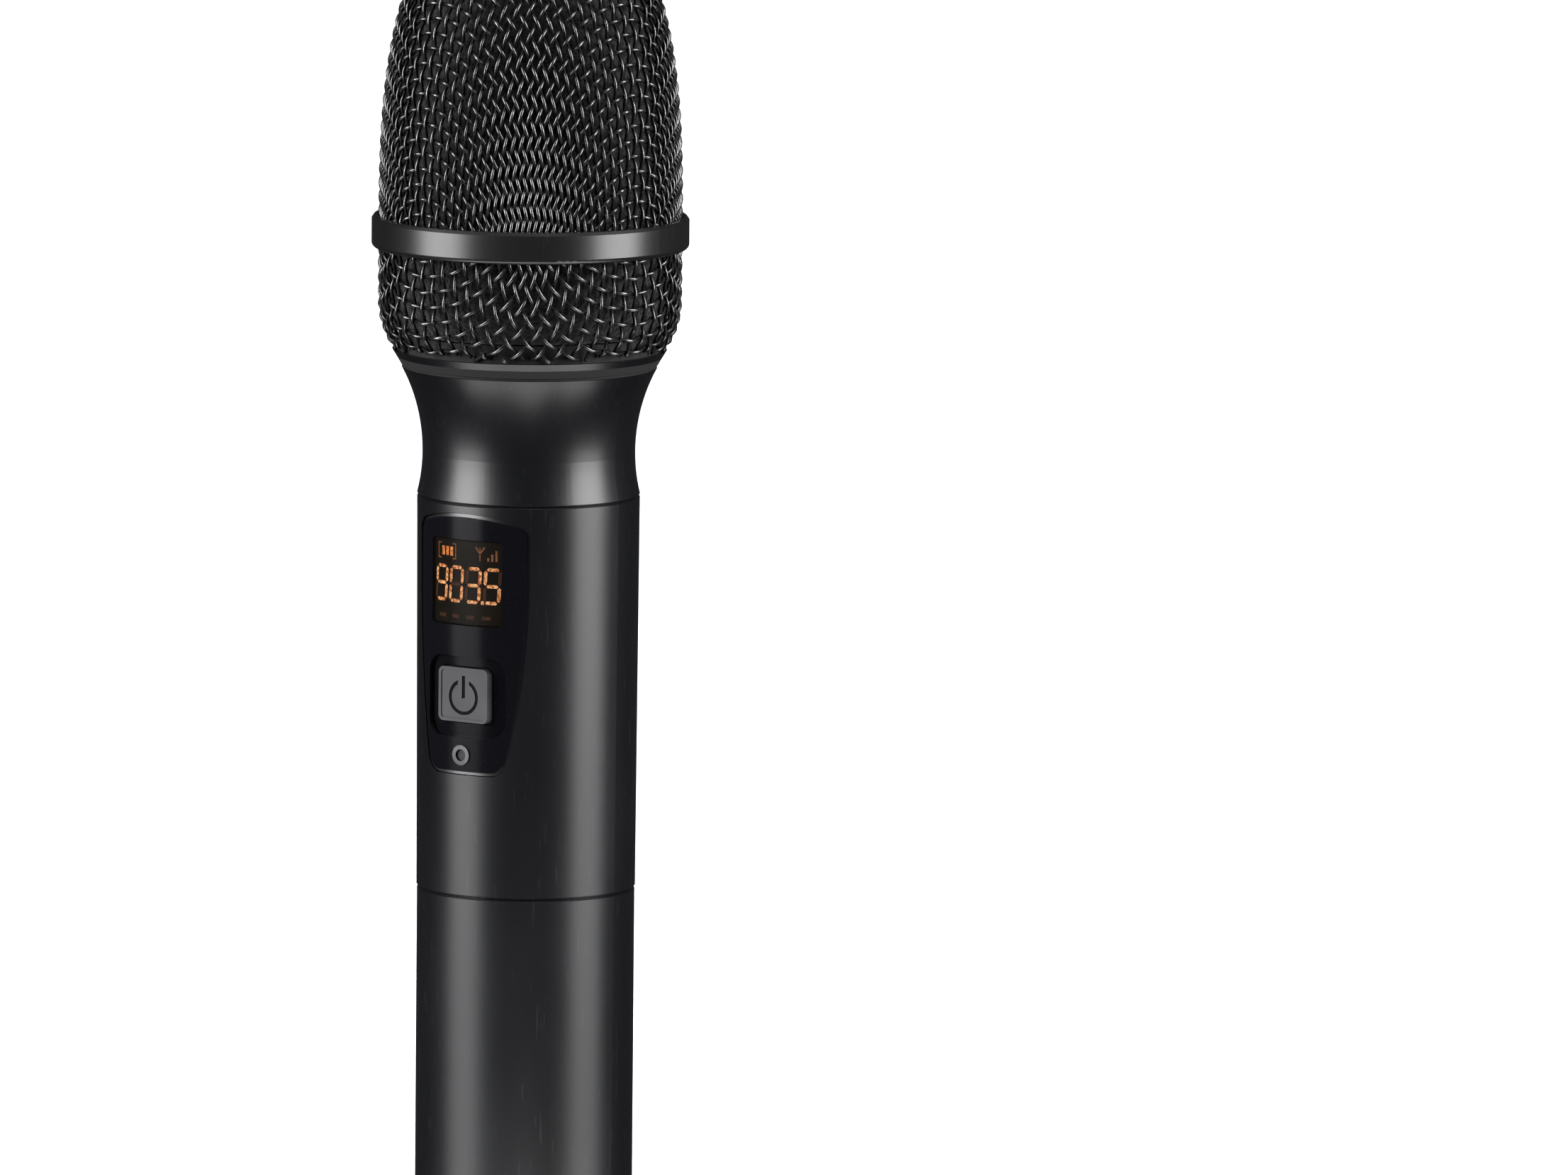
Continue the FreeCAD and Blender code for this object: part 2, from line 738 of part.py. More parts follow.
def make_capsule():
    """Dynamic capsule: housing, pot, magnet, pole, front cap and rear terminals."""
    stem_foot = 170.0
    stem_bore = 7.5
    wall_top = 198.0
    inner_r = CAPSULE_R - 0.8
    nodes["capsule_housing"] = lathe(
        (stem_bore, stem_foot),
        [
            (9.0, stem_foot),
            (9.0, 175.5),
            (CAPSULE_R - 0.5, 177.0),
            (CAPSULE_R, 177.5),
            (CAPSULE_R, wall_top),
            (inner_r, wall_top),
            (inner_r, 182.4),
            (10.0, 178.5),
            (stem_bore, 176.0),
        ],
    )
    yoke_foot = 182.5
    magnet_foot = 184.0
    magnet_top = 191.0
    gap_foot = 192.0
    pole_top = 194.0
    nodes["capsule_yoke"] = lathe(
        (0, yoke_foot),
        [
            (inner_r - 0.1, yoke_foot),
            (inner_r - 0.1, pole_top),
            (9.7, pole_top),
            (9.7, gap_foot),
            (11.0, gap_foot),
            (11.0, magnet_foot),
            (0, magnet_foot),
        ],
    )
    nodes["capsule_magnet"] = rod(7.2, magnet_foot, magnet_top)
    nodes["capsule_pole"] = rod(8.5, magnet_top, pole_top)
    cap_foot = wall_top + 0.05
    lip_r = CAPSULE_R + 0.8
    front = lathe(
        (0, wall_top + 0.2),
        [
            (CAPSULE_R - 1.2, wall_top + 0.2),
            (CAPSULE_R - 1.2, cap_foot),
            (lip_r, cap_foot),
            (lip_r, wall_top + 1.4),
            (lip_r - 0.6, wall_top + 2.0),
            (11.0, wall_top + 2.4),
            (0, wall_top + 3.2),
        ],
    )
    hole_r = 1.3
    holes = [rod(hole_r, wall_top - 1, wall_top + 5)]
    for count, ring_r in ((6, 4.4), (12, 8.2)):
        for i in range(count):
            angle = 2 * math.pi * i / count
            across = ring_r * math.cos(angle)
            holes.append(rod(hole_r, wall_top - 1, wall_top + 5, across, ring_r * math.sin(angle)))
    nodes["capsule_cap"] = trim(front, holes)
    lug_x = 2.6
    lug_foot = 168.4
    lead_end = 149.0
    disc = rod(7.4, stem_foot + 0.6, stem_foot + 2.0)
    lugs = [box(x - 0.8, x + 0.8, -0.4, 0.4, lug_foot, stem_foot + 0.7) for x in (-lug_x, lug_x)]
    nodes["capsule_terminals"] = join([disc] + lugs)
    leads = []
    for x in (-lug_x, lug_x):
        route = [(x, 0, lug_foot), (x, 0, lead_end), (x, BOARD_BACK, lead_end)]
        leads.append(wire_run(route, 0.5))
    nodes["capsule_leads"] = Part.makeCompound(leads)


def make_grille():
    """Gasket, collar, lower woven cup, band, woven dome and the foam inside. The wires' shell is plain."""
    nodes["grille_gasket"] = pipe(NECK_TOP_R - 0.1, THREAD_RING_R + 0.2, NECK_TOP + 0.05, COLLAR_FOOT - 0.05)
    bore = THREAD_RING_R + 0.3
    seat = COLLAR_R - 1.0
    nodes["grille_collar"] = lathe(
        (bore, COLLAR_FOOT),
        [
            (NECK_TOP_R + 0.1, COLLAR_FOOT),
            (COLLAR_R, COLLAR_TOP),
            (seat, COLLAR_TOP),
            (seat, COLLAR_TOP + 3.0),
            (bore, COLLAR_TOP + 3.0),
        ],
    )
    belly = 190.0
    belly_mid_z = 185.4
    belly_mid_r = MESH_R - 0.96
    low = COLLAR_TOP + 0.05
    web_low = 201.6
    web_high = 202.8
    nodes["grille_mesh_lower"] = lathe(
        (seat + 0.05, low),
        [
            (COLLAR_R, low),
            (belly_mid_r, belly_mid_z, MESH_R - 0.1, belly),
            (MESH_R, BAND_FOOT),
            (MESH_R, web_low),
            (MESH_R - MESH_WALL, web_low),
            (MESH_R - MESH_WALL, BAND_FOOT),
            (MESH_R - 0.1 - MESH_WALL, belly),
            (belly_mid_r - MESH_WALL, belly_mid_z + 0.3, seat + 0.05, low + 0.5),
        ],
    )
    lip = BAND_R - 1.0
    web_bore = 24.3
    nodes["grille_band"] = lathe(
        (lip, BAND_FOOT),
        [
            (BAND_R - 0.8, BAND_FOOT),
            (BAND_R - 0.24, BAND_FOOT + 0.24, BAND_R, BAND_FOOT + 0.8),
            (BAND_R, BAND_TOP - 0.6),
            (BAND_R - 0.35, BAND_TOP - 0.1),
            (lip, BAND_TOP),
            (lip, web_high + 0.05),
            (web_bore, web_high + 0.05),
            (web_bore, web_low + 0.05),
            (lip, web_low + 0.05),
        ],
    )
    skirt = BAND_TOP - web_high - 0.1
    nodes["grille_mesh_upper"] = dome_shell(
        MESH_R, MESH_R - MESH_WALL, DOME_RISE, DOME_RISE - MESH_WALL, BAND_TOP, skirt
    )
    foam_r = web_bore - FOAM_GAP
    foam_rise = DOME_RISE - MESH_WALL - FOAM_GAP
    foam_bore = foam_r - FOAM_WALL
    foot_low = COLLAR_TOP + 3.3
    foot_high = belly + 0.2
    liner = dome_shell(foam_r, foam_bore, foam_rise, foam_rise - FOAM_WALL, BAND_TOP, BAND_TOP - foot_high)
    foot_r = COLLAR_R - 0.4
    foot = lathe((foam_bore, foot_low), [(foot_r, foot_low), (foam_r, foot_high), (foam_bore, foot_high)])
    nodes["foam_liner"] = join([liner, foot])


make_sleeve()
make_antenna()
make_tube()
make_panel()
make_display()
make_button()
make_indicator()
make_board()
make_chassis()
make_coupler()
make_tray()
make_battery_parts()
make_neck()
make_shock_mount()
make_capsule()
make_diaphragm()
make_grille()

os.makedirs("parts", exist_ok=True)
for name, shape in nodes.items():
    if not shape.isValid():
        print("not valid:", name)
    shape.exportStep(f"parts/{name}.step")
print(len(nodes), "nodes")
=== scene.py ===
import math

import bpy
import numpy as np
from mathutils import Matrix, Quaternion, Vector, noise


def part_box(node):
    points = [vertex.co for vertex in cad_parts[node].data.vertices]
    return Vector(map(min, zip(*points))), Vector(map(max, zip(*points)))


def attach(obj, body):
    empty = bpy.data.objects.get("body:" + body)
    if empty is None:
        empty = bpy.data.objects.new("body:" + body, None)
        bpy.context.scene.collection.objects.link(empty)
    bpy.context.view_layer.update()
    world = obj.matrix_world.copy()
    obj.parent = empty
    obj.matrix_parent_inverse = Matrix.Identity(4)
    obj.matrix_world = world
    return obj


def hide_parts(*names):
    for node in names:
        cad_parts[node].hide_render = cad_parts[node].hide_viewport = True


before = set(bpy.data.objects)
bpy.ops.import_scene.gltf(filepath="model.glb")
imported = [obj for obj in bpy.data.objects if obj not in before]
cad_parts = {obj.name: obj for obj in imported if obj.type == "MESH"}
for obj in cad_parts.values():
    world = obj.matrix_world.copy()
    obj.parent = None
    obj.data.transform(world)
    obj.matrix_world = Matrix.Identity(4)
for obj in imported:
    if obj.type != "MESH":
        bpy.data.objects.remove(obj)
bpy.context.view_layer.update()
mm = 0.001
print("frame loaded:", len(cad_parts), "nodes")


# Camera and studio

view = {
    "azimuth": 35.5,      # degrees, from the panel's side towards +X
    "elevation": 7.5,
    "roll": 0.505,
    "distance": 4.0,
    "lens": 550.0,
    "aimHeight": 0.14249,
    "aimRight": 0.04277,  # the microphone stands left of the middle
}

studio = {
    "floorRadius": 30.0,
    "floorGlow": 1.02,
    "worldLevel": 0.03,
    "worldTint": (0.93, 0.96, 1.0, 1.0),
    "aimHeight": 0.17,
    "sideAngle": 67.0,    # how far each softbox stands round from the camera
    "sideLift": 16.0,
    "sidePower": 41.0,
    "sideSize": (0.85, 1.2),
    "sideDistance": 1.3,
    "topAngle": 150.0,
    "topLift": 87.0,
    "topPower": 9.0,
    "topSize": (1.2, 1.2),
    "topDistance": 1.6,
    "frontPower": 0.15,   # panels low in front, seen in the underside of the flare
    "frontAngle": 60.0,
    "frontSize": (0.11, 0.11),
    "frontDistance": 0.118,
    "frontHeight": 0.004,
}


def direction(azimuth, elevation):
    turn, lift = math.radians(azimuth), math.radians(elevation)
    return Vector((math.sin(turn) * math.cos(lift), -math.cos(turn) * math.cos(lift), math.sin(lift)))


def link(obj):
    bpy.context.scene.collection.objects.link(obj)
    return obj


def addCamera():
    data = bpy.data.cameras.new("viewCamera")
    data.lens = view["lens"]
    data.sensor_width = 36.0
    data.clip_end = 100.0
    obj = link(bpy.data.objects.new("viewCamera", data))
    towards = direction(view["azimuth"], view["elevation"])
    right = Vector((0, 0, 1)).cross(towards).normalized()
    aim = Vector((0, 0, view["aimHeight"])) + right * view["aimRight"]
    obj.location = aim + towards * view["distance"]
    look = Quaternion(towards, math.radians(view["roll"])) @ towards.to_track_quat("Z", "Y")
    obj.rotation_euler = look.to_euler()
    bpy.context.scene.camera = obj


def addLight(name, place, target, size, power):
    data = bpy.data.lights.new(name, "AREA")
    data.shape = "RECTANGLE"
    data.size, data.size_y = size
    data.energy = power
    obj = link(bpy.data.objects.new(name, data))
    obj.location = place
    obj.rotation_euler = (place - target).to_track_quat("Z", "Y").to_euler()
    return obj


def addStudio():
    middle = Vector((0, 0, studio["aimHeight"]))
    for name, side in (("leftStrip", -1), ("rightStrip", 1)):
        towards = direction(view["azimuth"] + side * studio["sideAngle"], studio["sideLift"])
        place = middle + towards * studio["sideDistance"]
        addLight(name, place, middle, studio["sideSize"], studio["sidePower"])
    towards = direction(view["azimuth"] + studio["topAngle"], studio["topLift"])
    place = middle + towards * studio["topDistance"]
    addLight("topPanel", place, middle, studio["topSize"], studio["topPower"])
    up = Vector((0, 0, 1))
    for name, side in (("frontLeft", -1), ("frontMiddle", 0), ("frontRight", 1)):
        towards = direction(view["azimuth"] + side * studio["frontAngle"], 0.0)
        place = towards * studio["frontDistance"] + up * studio["frontHeight"]
        panel = addLight(name, place, place + up, studio["frontSize"], studio["frontPower"])
        panel.visible_camera = False
    world = bpy.data.worlds.new("studioWorld")
    world.use_nodes = True
    background = world.node_tree.nodes["Background"]
    background.inputs["Strength"].default_value = studio["worldLevel"]
    background.inputs["Color"].default_value = studio["worldTint"]
    bpy.context.scene.world = world
    bpy.context.scene.view_settings.view_transform = "Standard"


# Materials: a socket with arithmetic, and a builder for one node material

class Field:
    def __init__(self, paint, socket):
        self.paint = paint
        self.socket = socket

    def __add__(self, other):
        return self.paint.math("ADD", self, other)

    def __sub__(self, other):
        return self.paint.math("SUBTRACT", self, other)

    def __rsub__(self, other):
        return self.paint.math("SUBTRACT", other, self)

    def __mul__(self, other):
        return self.paint.math("MULTIPLY", self, other)

    def __truediv__(self, other):
        return self.paint.math("DIVIDE", self, other)

    def __pow__(self, other):
        return self.paint.math("POWER", self, other)

    def __gt__(self, other):
        return self.paint.math("GREATER_THAN", self, other)

    def __lt__(self, other):
        return self.paint.math("LESS_THAN", self, other)

    __radd__ = __add__
    __rmul__ = __mul__


class Paint:
    def __init__(self, name, surface):
        self.material = bpy.data.materials.new(name)
        self.material.use_nodes = True
        self.tree = self.material.node_tree
        self.shader = self.tree.nodes["Principled BSDF"]
        for label, value in surface.items():
            self.feed(self.shader.inputs[label], value)
        metres = self.add("TexCoord", {}, {}, "Object")
        self.place = self.add("VectorMath", {"operation": "SCALE"}, {0: metres, "Scale": 1 / mm})

    def math(self, operation, first, second=0.0):
        return self.add("Math", {"operation": operation}, {0: first, 1: second})

    def feed(self, socket, value):
        if isinstance(value, Field):
            self.tree.links.new(value.socket, socket)
        elif isinstance(value, tuple) and socket.type == "RGBA":
            socket.default_value = (*value[:3], 1.0)
        else:
            socket.default_value = value

    def add(self, kind, settings, inputs, output=0):
        node = self.tree.nodes.new("ShaderNode" + kind)
        stops = settings.pop("stops", None)
        for key, value in settings.items():
            setattr(node, key, value)
        if stops:
            ramp = node.color_ramp
            while len(ramp.elements) < len(stops):
                ramp.elements.new(0.5)
            for element, (spot, color) in zip(ramp.elements, stops):
                element.position = spot
                element.color = (*color, 1.0)
        for key, value in inputs.items():
            self.feed(node.inputs[key], value)
        return Field(self, node.outputs[output])

    def grain(self, size, detail=2.0, stretch=None):  # noise whose blobs are size mm across
        where = self.place
        if stretch:
            where = self.add("VectorMath", {"operation": "MULTIPLY"}, {0: self.place, 1: stretch})
        return self.add("TexNoise", {}, {"Vector": where, "Scale": 1 / size, "Detail": detail})

    def cells(self, size, feature="F1"):
        return self.add("TexVoronoi", {"feature": feature}, {"Vector": self.place, "Scale": 1 / size})

    def part(self, axis):  # one coordinate in mm
        return self.add("SeparateXYZ", {}, {0: self.place}, axis)

    def out(self):  # distance from the microphone's axis in mm
        return (self.part(0) ** 2 + self.part(1) ** 2) ** 0.5

    def window(self, value, low, high):  # 0 below low, 1 above high, smooth between
        bounds = {"Value": value, "From Min": low, "From Max": high}
        return self.add("MapRange", {"interpolation_type": "SMOOTHSTEP"}, bounds)

    def blend(self, factor, first, second):
        return self.add("Mix", {"data_type": "RGBA"}, {0: factor, 6: first, 7: second}, 2)

    def color(self, value):
        self.feed(self.shader.inputs["Base Color"], value)
        return self

    def rough(self, value):
        self.feed(self.shader.inputs["Roughness"], value)
        return self

    def bump(self, height, depth, strength=1.0):  # depth in mm for a height from 0 to 1
        inputs = {"Height": height, "Distance": depth * mm, "Strength": strength}
        self.feed(self.shader.inputs["Normal"], self.add("Bump", {}, inputs))
        return self


def satinShell(name, base, roughness, shine, bore=0.0):  # sprayed satin coat; inside the bore (a radius in mm) the colour turns near black as painted shade and the coat turns matt
    paint = Paint(name, {"Metallic": 0.3, "Specular IOR Level": shine})
    fine = paint.grain(0.16, 3.0)
    smear = paint.grain(14.0, 4.0, (1.0, 1.0, 0.35))
    rub = paint.window(paint.grain(0.5, 2.0, (1.0, 1.0, 0.08)), 0.63, 0.75)
    light = tuple(c * 1.35 for c in base)
    tone = paint.blend(paint.window(smear, 0.3, 0.7), base, light)
    # painted shade inside the bore: near-black colour there, with a matt coat
    boreShadeAndMatt = bore > paint.out()
    rubbed = paint.blend(rub * 0.12, tone, (0.07, 0.07, 0.075))
    paint.color(paint.blend(boreShadeAndMatt, rubbed, (0.002, 0.002, 0.002)))
    paint.rough(roughness + (fine - 0.5) * 0.10 + (smear - 0.5) * 0.07 + boreShadeAndMatt * 0.5)
    return paint.bump(fine + smear * 0.4, 0.004).material


def wovenWire(name, depth):  # black wire with a painted glint: lighter colour and a glossy coat only where it stands nearest the outside, the under parts left dark as painted shade; depth in mm
    paint = Paint(name, {"Specular IOR Level": 0.12, "Coat Roughness": 0.22, "Coat IOR": 1.9})
    # painted glint mask: 1 on the over parts nearest the outside, 0 on the under parts, with random scuffs
    # inside it
    paintedGlintAndWear = 1 - paint.window(depth(paint), 0.16, 0.52)
    blotch = paint.grain(0.9, 3.0)
    scuff = paint.window(paint.grain(0.35, 3.0), 0.45, 0.65)
    paint.feed(paint.shader.inputs["Coat Weight"], paintedGlintAndWear * (0.55 + scuff * 0.45))
    paint.color(paint.blend(paintedGlintAndWear * scuff * 0.5, (0.003, 0.003, 0.0033), (0.035, 0.035, 0.037)))
    paint.rough(0.55 + (blotch - 0.5) * 0.2)
    return paint.bump(paint.grain(0.12, 2.0), 0.008).material


def domeDepth(paint):  # how far a point lies inside the dome
    low, high = (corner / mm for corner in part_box("grille_mesh_upper"))
    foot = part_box("grille_band")[1].z / mm
    power = weave["domePower"]
    out = paint.out()
    up = paint.math("MAXIMUM", paint.part(2) - foot, 0.0)
    share = ((out / high.x) ** power + (up / (high.z - foot)) ** power) ** (1 / power)
    reach = (out**2 + up**2) ** 0.5
    return reach / share - reach


def cupDepth(paint):  # how far a point lies inside the lower cup
    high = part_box("grille_mesh_lower")[1].x / mm
    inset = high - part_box("grille_collar")[1].x / mm
    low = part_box("grille_mesh_lower")[0].z / mm
    belly = weave["belly"]
    under = paint.math("MAXIMUM", low + belly - paint.part(2), 0.0) / belly
    return high - under**2 * inset - paint.out()


def popFoam():
    paint = Paint("popFoam", {"Sheen Weight": 0.15, "Specular IOR Level": 0.15})
    pores = paint.cells(0.7)
    paint.color(paint.blend(paint.window(pores, 0.15, 0.6), (0.002, 0.002, 0.002), (0.012, 0.012, 0.012)))
    paint.rough(0.95 - pores * 0.1)
    return paint.bump(pores, 0.3).material


def glossPanel():  # polished black moulding with hair-fine wipe marks and dust, and a brighter stepped rim
    paint = Paint("glossPanel", {"Specular IOR Level": 0.05, "Coat Roughness": 0.3, "Coat IOR": 1.9})
    wipe = paint.grain(0.25, 2.0, (1.0, 1.0, 0.06))
    haze = paint.grain(9.0, 4.0)
    dust = paint.window(paint.grain(0.18, 1.0), 0.72, 0.78)
    paint.color(paint.blend(dust * 0.3, (0.003, 0.003, 0.0042), (0.07, 0.07, 0.075)))
    paint.rough(0.20 + (haze - 0.5) * 0.1 + paint.window(wipe, 0.55, 0.75) * 0.05)
    face = -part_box("control_panel")[0].y / mm
    out = paint.out()
    rim = paint.window(out, face - 0.62, face - 0.5) * (1 - paint.window(out, face - 0.3, face - 0.05))
    paint.feed(paint.shader.inputs["Coat Weight"], rim * 0.7)
    return paint.bump(wipe, 0.0012).material


def smokedWindow():
    paint = Paint("smokedWindow", {"Specular IOR Level": 0.06})
    haze = paint.grain(6.0, 4.0)
    paint.color(paint.blend(haze, (0.005, 0.004, 0.003), (0.010, 0.008, 0.006)))
    paint.rough(0.16 + (haze - 0.5) * 0.08)
    paint.feed(paint.shader.inputs["Alpha"], 0.22 + haze * 0.06)
    return paint.bump(paint.grain(0.3, 2.0), 0.001).material


def displayFace():  # brown-black filter film with faint cells
    paint = Paint("displayFace", {"Specular IOR Level": 0.06})
    film = paint.grain(2.5, 4.0)
    paint.color(paint.blend(film, (0.004, 0.0026, 0.0016), (0.010, 0.007, 0.0045)))
    paint.rough(0.45 + (film - 0.5) * 0.2)
    return paint.bump(paint.grain(0.2, 2.0), 0.004).material


def glowSegment(name, cool, hot, strength):  # glowing bar, hotter in random patches
    paint = Paint(name, {"Emission Strength": strength, "Specular IOR Level": 0.1})
    mottle = paint.grain(0.45, 2.0)
    tint = paint.blend(paint.window(mottle, 0.35, 0.65), cool, hot)
    paint.feed(paint.shader.inputs["Emission Color"], tint)
    paint.color(tint)
    return paint.rough(0.6 + (mottle - 0.5) * 0.2).material


def moulded(name, base, roughness=0.5, texture=0.35, depth=0.02, shine=0.45):  # spark-textured plastic
    paint = Paint(name, {"Specular IOR Level": shine})
    spark = paint.grain(texture, 3.0)
    cloud = paint.grain(12.0, 3.0)
    light = tuple(min(1.0, c * 1.4 + 0.004) for c in base)
    paint.color(paint.blend(paint.window(cloud, 0.3, 0.7), base, light))
    paint.rough(roughness + (spark - 0.5) * 0.18 + (cloud - 0.5) * 0.08)
    return paint.bump(spark, depth).material


def machined(name, base, roughness=0.25, ring=0.18):  # turned or rolled metal, with fine rings along Z
    paint = Paint(name, {"Metallic": 1.0})
    rings = paint.grain(ring, 2.0, (0.05, 0.05, 1.0))
    stain = paint.grain(4.0, 4.0)
    dark = tuple(c * 0.72 for c in base)
    paint.color(paint.blend(paint.window(stain, 0.35, 0.75), base, dark))
    paint.rough(roughness + (rings - 0.5) * 0.14 + (stain - 0.5) * 0.12)
    return paint.bump(rings, 0.006).material


def softRubber():
    paint = Paint("softRubber", {"Specular IOR Level": 0.15})
    pores = paint.grain(0.25, 4.0)
    bloom = paint.grain(5.0, 3.0)
    paint.color(paint.blend(bloom, (0.006, 0.006, 0.006), (0.016, 0.016, 0.016)))
    paint.rough(0.72 + (bloom - 0.5) * 0.2)
    return paint.bump(pores, 0.02).material


def boardMask():  # solder mask over tracks
    paint = Paint("boardMask", {"Specular IOR Level": 0.5, "Coat Weight": 0.3, "Coat Roughness": 0.15})
    stand = {"Vector": paint.place, "Axis": (1.0, 0.0, 0.0), "Angle": math.pi / 2}
    turned = paint.add("VectorRotate", {}, stand)
    black, white = (0.0, 0.0, 0.0), (1.0, 1.0, 1.0)
    lines = {"Scale": 0.35, "Mortar Size": 0.03, "Color1": black, "Color2": black, "Mortar": white}
    track = paint.add("TexBrick", {}, {"Vector": turned, **lines}, "Color")
    cloth = paint.grain(0.5, 2.0)
    paint.color(paint.blend(track, (0.008, 0.075, 0.030), (0.02, 0.16, 0.07)))
    paint.rough(0.34 + (cloth - 0.5) * 0.14)
    return paint.bump(track, 0.03).material


def cellSleeve(name, plusUp):  # printed shrink sleeve with a metal-coloured plus end
    paint = Paint(name, {"Specular IOR Level": 0.5, "Coat Weight": 0.5, "Coat Roughness": 0.12})
    low, high = (corner.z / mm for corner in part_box(name))
    height = paint.part(2)
    band = 0.68
    split = low + (high - low) * (band if plusUp else 1 - band)
    upper = paint.window(height, split - 0.05, split + 0.05)
    plus = upper if plusUp else 1 - upper
    rim = paint.window(height, high - 1.9, high - 1.8) + (1 - paint.window(height, low + 1.8, low + 1.9))
    scuff = paint.window(paint.grain(1.2, 4.0, (1.0, 1.0, 0.3)), 0.6, 0.75)
    body = paint.blend(plus, (0.02, 0.10, 0.045), (0.62, 0.36, 0.10))
    paintedGlintAndWear = paint.blend(scuff * 0.2, body, (0.3, 0.3, 0.3))
    paint.color(paint.blend(rim, paintedGlintAndWear, (0.55, 0.54, 0.52)))
    paint.feed(paint.shader.inputs["Metallic"], paint.window(rim + plus * 0.6, 0.1, 0.9))
    paint.rough(0.26 + scuff * 0.2)
    return paint.bump(paint.grain(0.8, 3.0), 0.006).material


def wireJacket(name, base):
    paint = Paint(name, {"Specular IOR Level": 0.45})
    ripple = paint.grain(0.6, 3.0)
    paint.color(paint.blend(ripple, base, tuple(c * 1.3 for c in base)))
    paint.rough(0.42 + (ripple - 0.5) * 0.2)
    return paint.bump(ripple, 0.01).material


def thinFilm():  # clear diaphragm with pressed rays
    paint = Paint("thinFilm", {"Specular IOR Level": 0.6, "Transmission Weight": 0.4})
    cloud = paint.grain(3.0, 3.0)
    paint.color(paint.blend(cloud, (0.62, 0.58, 0.46), (0.74, 0.71, 0.60)))
    paint.rough(0.2 + (cloud - 0.5) * 0.2)
    return paint.bump(cloud, 0.02).material


def studioFloor():
    paint = Paint("studioFloor", {"Specular IOR Level": 0.1, "Emission Strength": studio["floorGlow"]})
    paint.feed(paint.shader.inputs["Emission Color"], (1.0, 1.0, 1.0))
    cloud = paint.grain(60.0, 2.0)
    paint.color(paint.blend(cloud, (0.86, 0.86, 0.86), (0.9, 0.9, 0.9)))
    return paint.rough(0.8 + cloud * 0.1).material


# Pieces

def addPiece(name, verts, faces, material, body, slot, smooth=True):
    mesh = bpy.data.meshes.new(name)
    mesh.from_pydata([tuple(v) for v in verts], [], faces)
    mesh.validate()
    mesh.polygons.foreach_set("use_smooth", [smooth] * len(mesh.polygons))
    mesh.materials.append(material)
    obj = link(bpy.data.objects.new(name, mesh))
    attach(obj, body)
    return obj


def tubeMesh(path, normals, radius, sides):  # closed round tube whose rings stand across the path
    path = np.asarray(path)
    along = np.gradient(path, axis=0)
    along /= np.linalg.norm(along, axis=1, keepdims=True)
    across = np.cross(along, normals)
    across /= np.linalg.norm(across, axis=1, keepdims=True)
    out = np.cross(across, along)
    angles = np.arange(sides) * 2 * math.pi / sides
    rings = (path[:, None, :] + radius * (np.cos(angles)[None, :, None] * out[:, None, :]
                                          + np.sin(angles)[None, :, None] * across[:, None, :]))
    count = len(path)
    faces = []
    for k in range(count - 1):
        for s in range(sides):
            e = (s + 1) % sides
            faces.append((k * sides + s, (k + 1) * sides + s, (k + 1) * sides + e, k * sides + e))
    faces.append(tuple(range(sides)))
    faces.append(tuple((count - 1) * sides + s for s in reversed(range(sides))))
    return rings.reshape(-1, 3), faces


def gather(parts):  # several (verts, faces) as one
    verts, faces, start = [], [], 0
    for partVerts, partFaces in parts:
        verts.append(np.asarray(partVerts))
        faces += [tuple(start + v for v in face) for face in partFaces]
        start += len(partVerts)
    return np.concatenate(verts), faces


def latheMesh(profile, steps):  # closed ring-shaped or solid turning from (r, z) points
    verts, faces = [], []
    count = len(profile)
    for k in range(steps):
        turn = 2 * math.pi * k / steps
        verts += [(r * math.cos(turn), r * math.sin(turn), z) for r, z in profile]
    for k in range(steps):
        n = (k + 1) % steps
        for p in range(count):
            q = (p + 1) % count
            faces.append((k * count + p, n * count + p, n * count + q, k * count + q))
    return verts, faces


# Woven grille: a flat sheet of square-woven wire drawn over the dome, so its wires keep their spacing

weave = {
    "pitch": 2.52 * mm,
    "wire": 0.58 * mm,      # diameter
    "sheetTurn": -9.5,      # degrees, the direction of the sheet's first wire in plan
    "sides": 8,
    "samples": 6,           # steps from one crossing to the next
    "domePower": 2.6,
    "domeEase": (0.65, 0.18),  # how far the sheet was pressed wider than it would hang, at crown and at band
    "cupPitch": 2.6 * mm,
    "cupEase": (0.35, 0.35),
    "belly": 7.7,           # mm, height of the cup's curved foot
    "domeSteps": (900, 60),     # points along the dome's curve and its skirt
    "cupSteps": (200, 80, 60),  # points along the hole, the curved foot and the wall
    "cupLift": 0.3 * mm,
    "turns": 30,            # steps of the search for one crossing
    "reach": 0.6,           # longest step of that search along the surface, in pitches
    "swing": 0.15,          # and around it, in radians
    "misfit": 0.02,         # how far from one pitch a crossing may end, in pitches
    "fold": 0.4,            # how far a crossing may lie behind its neighbours, in pitches
    "shortest": 4,          # fewest points of a piece of wire
}


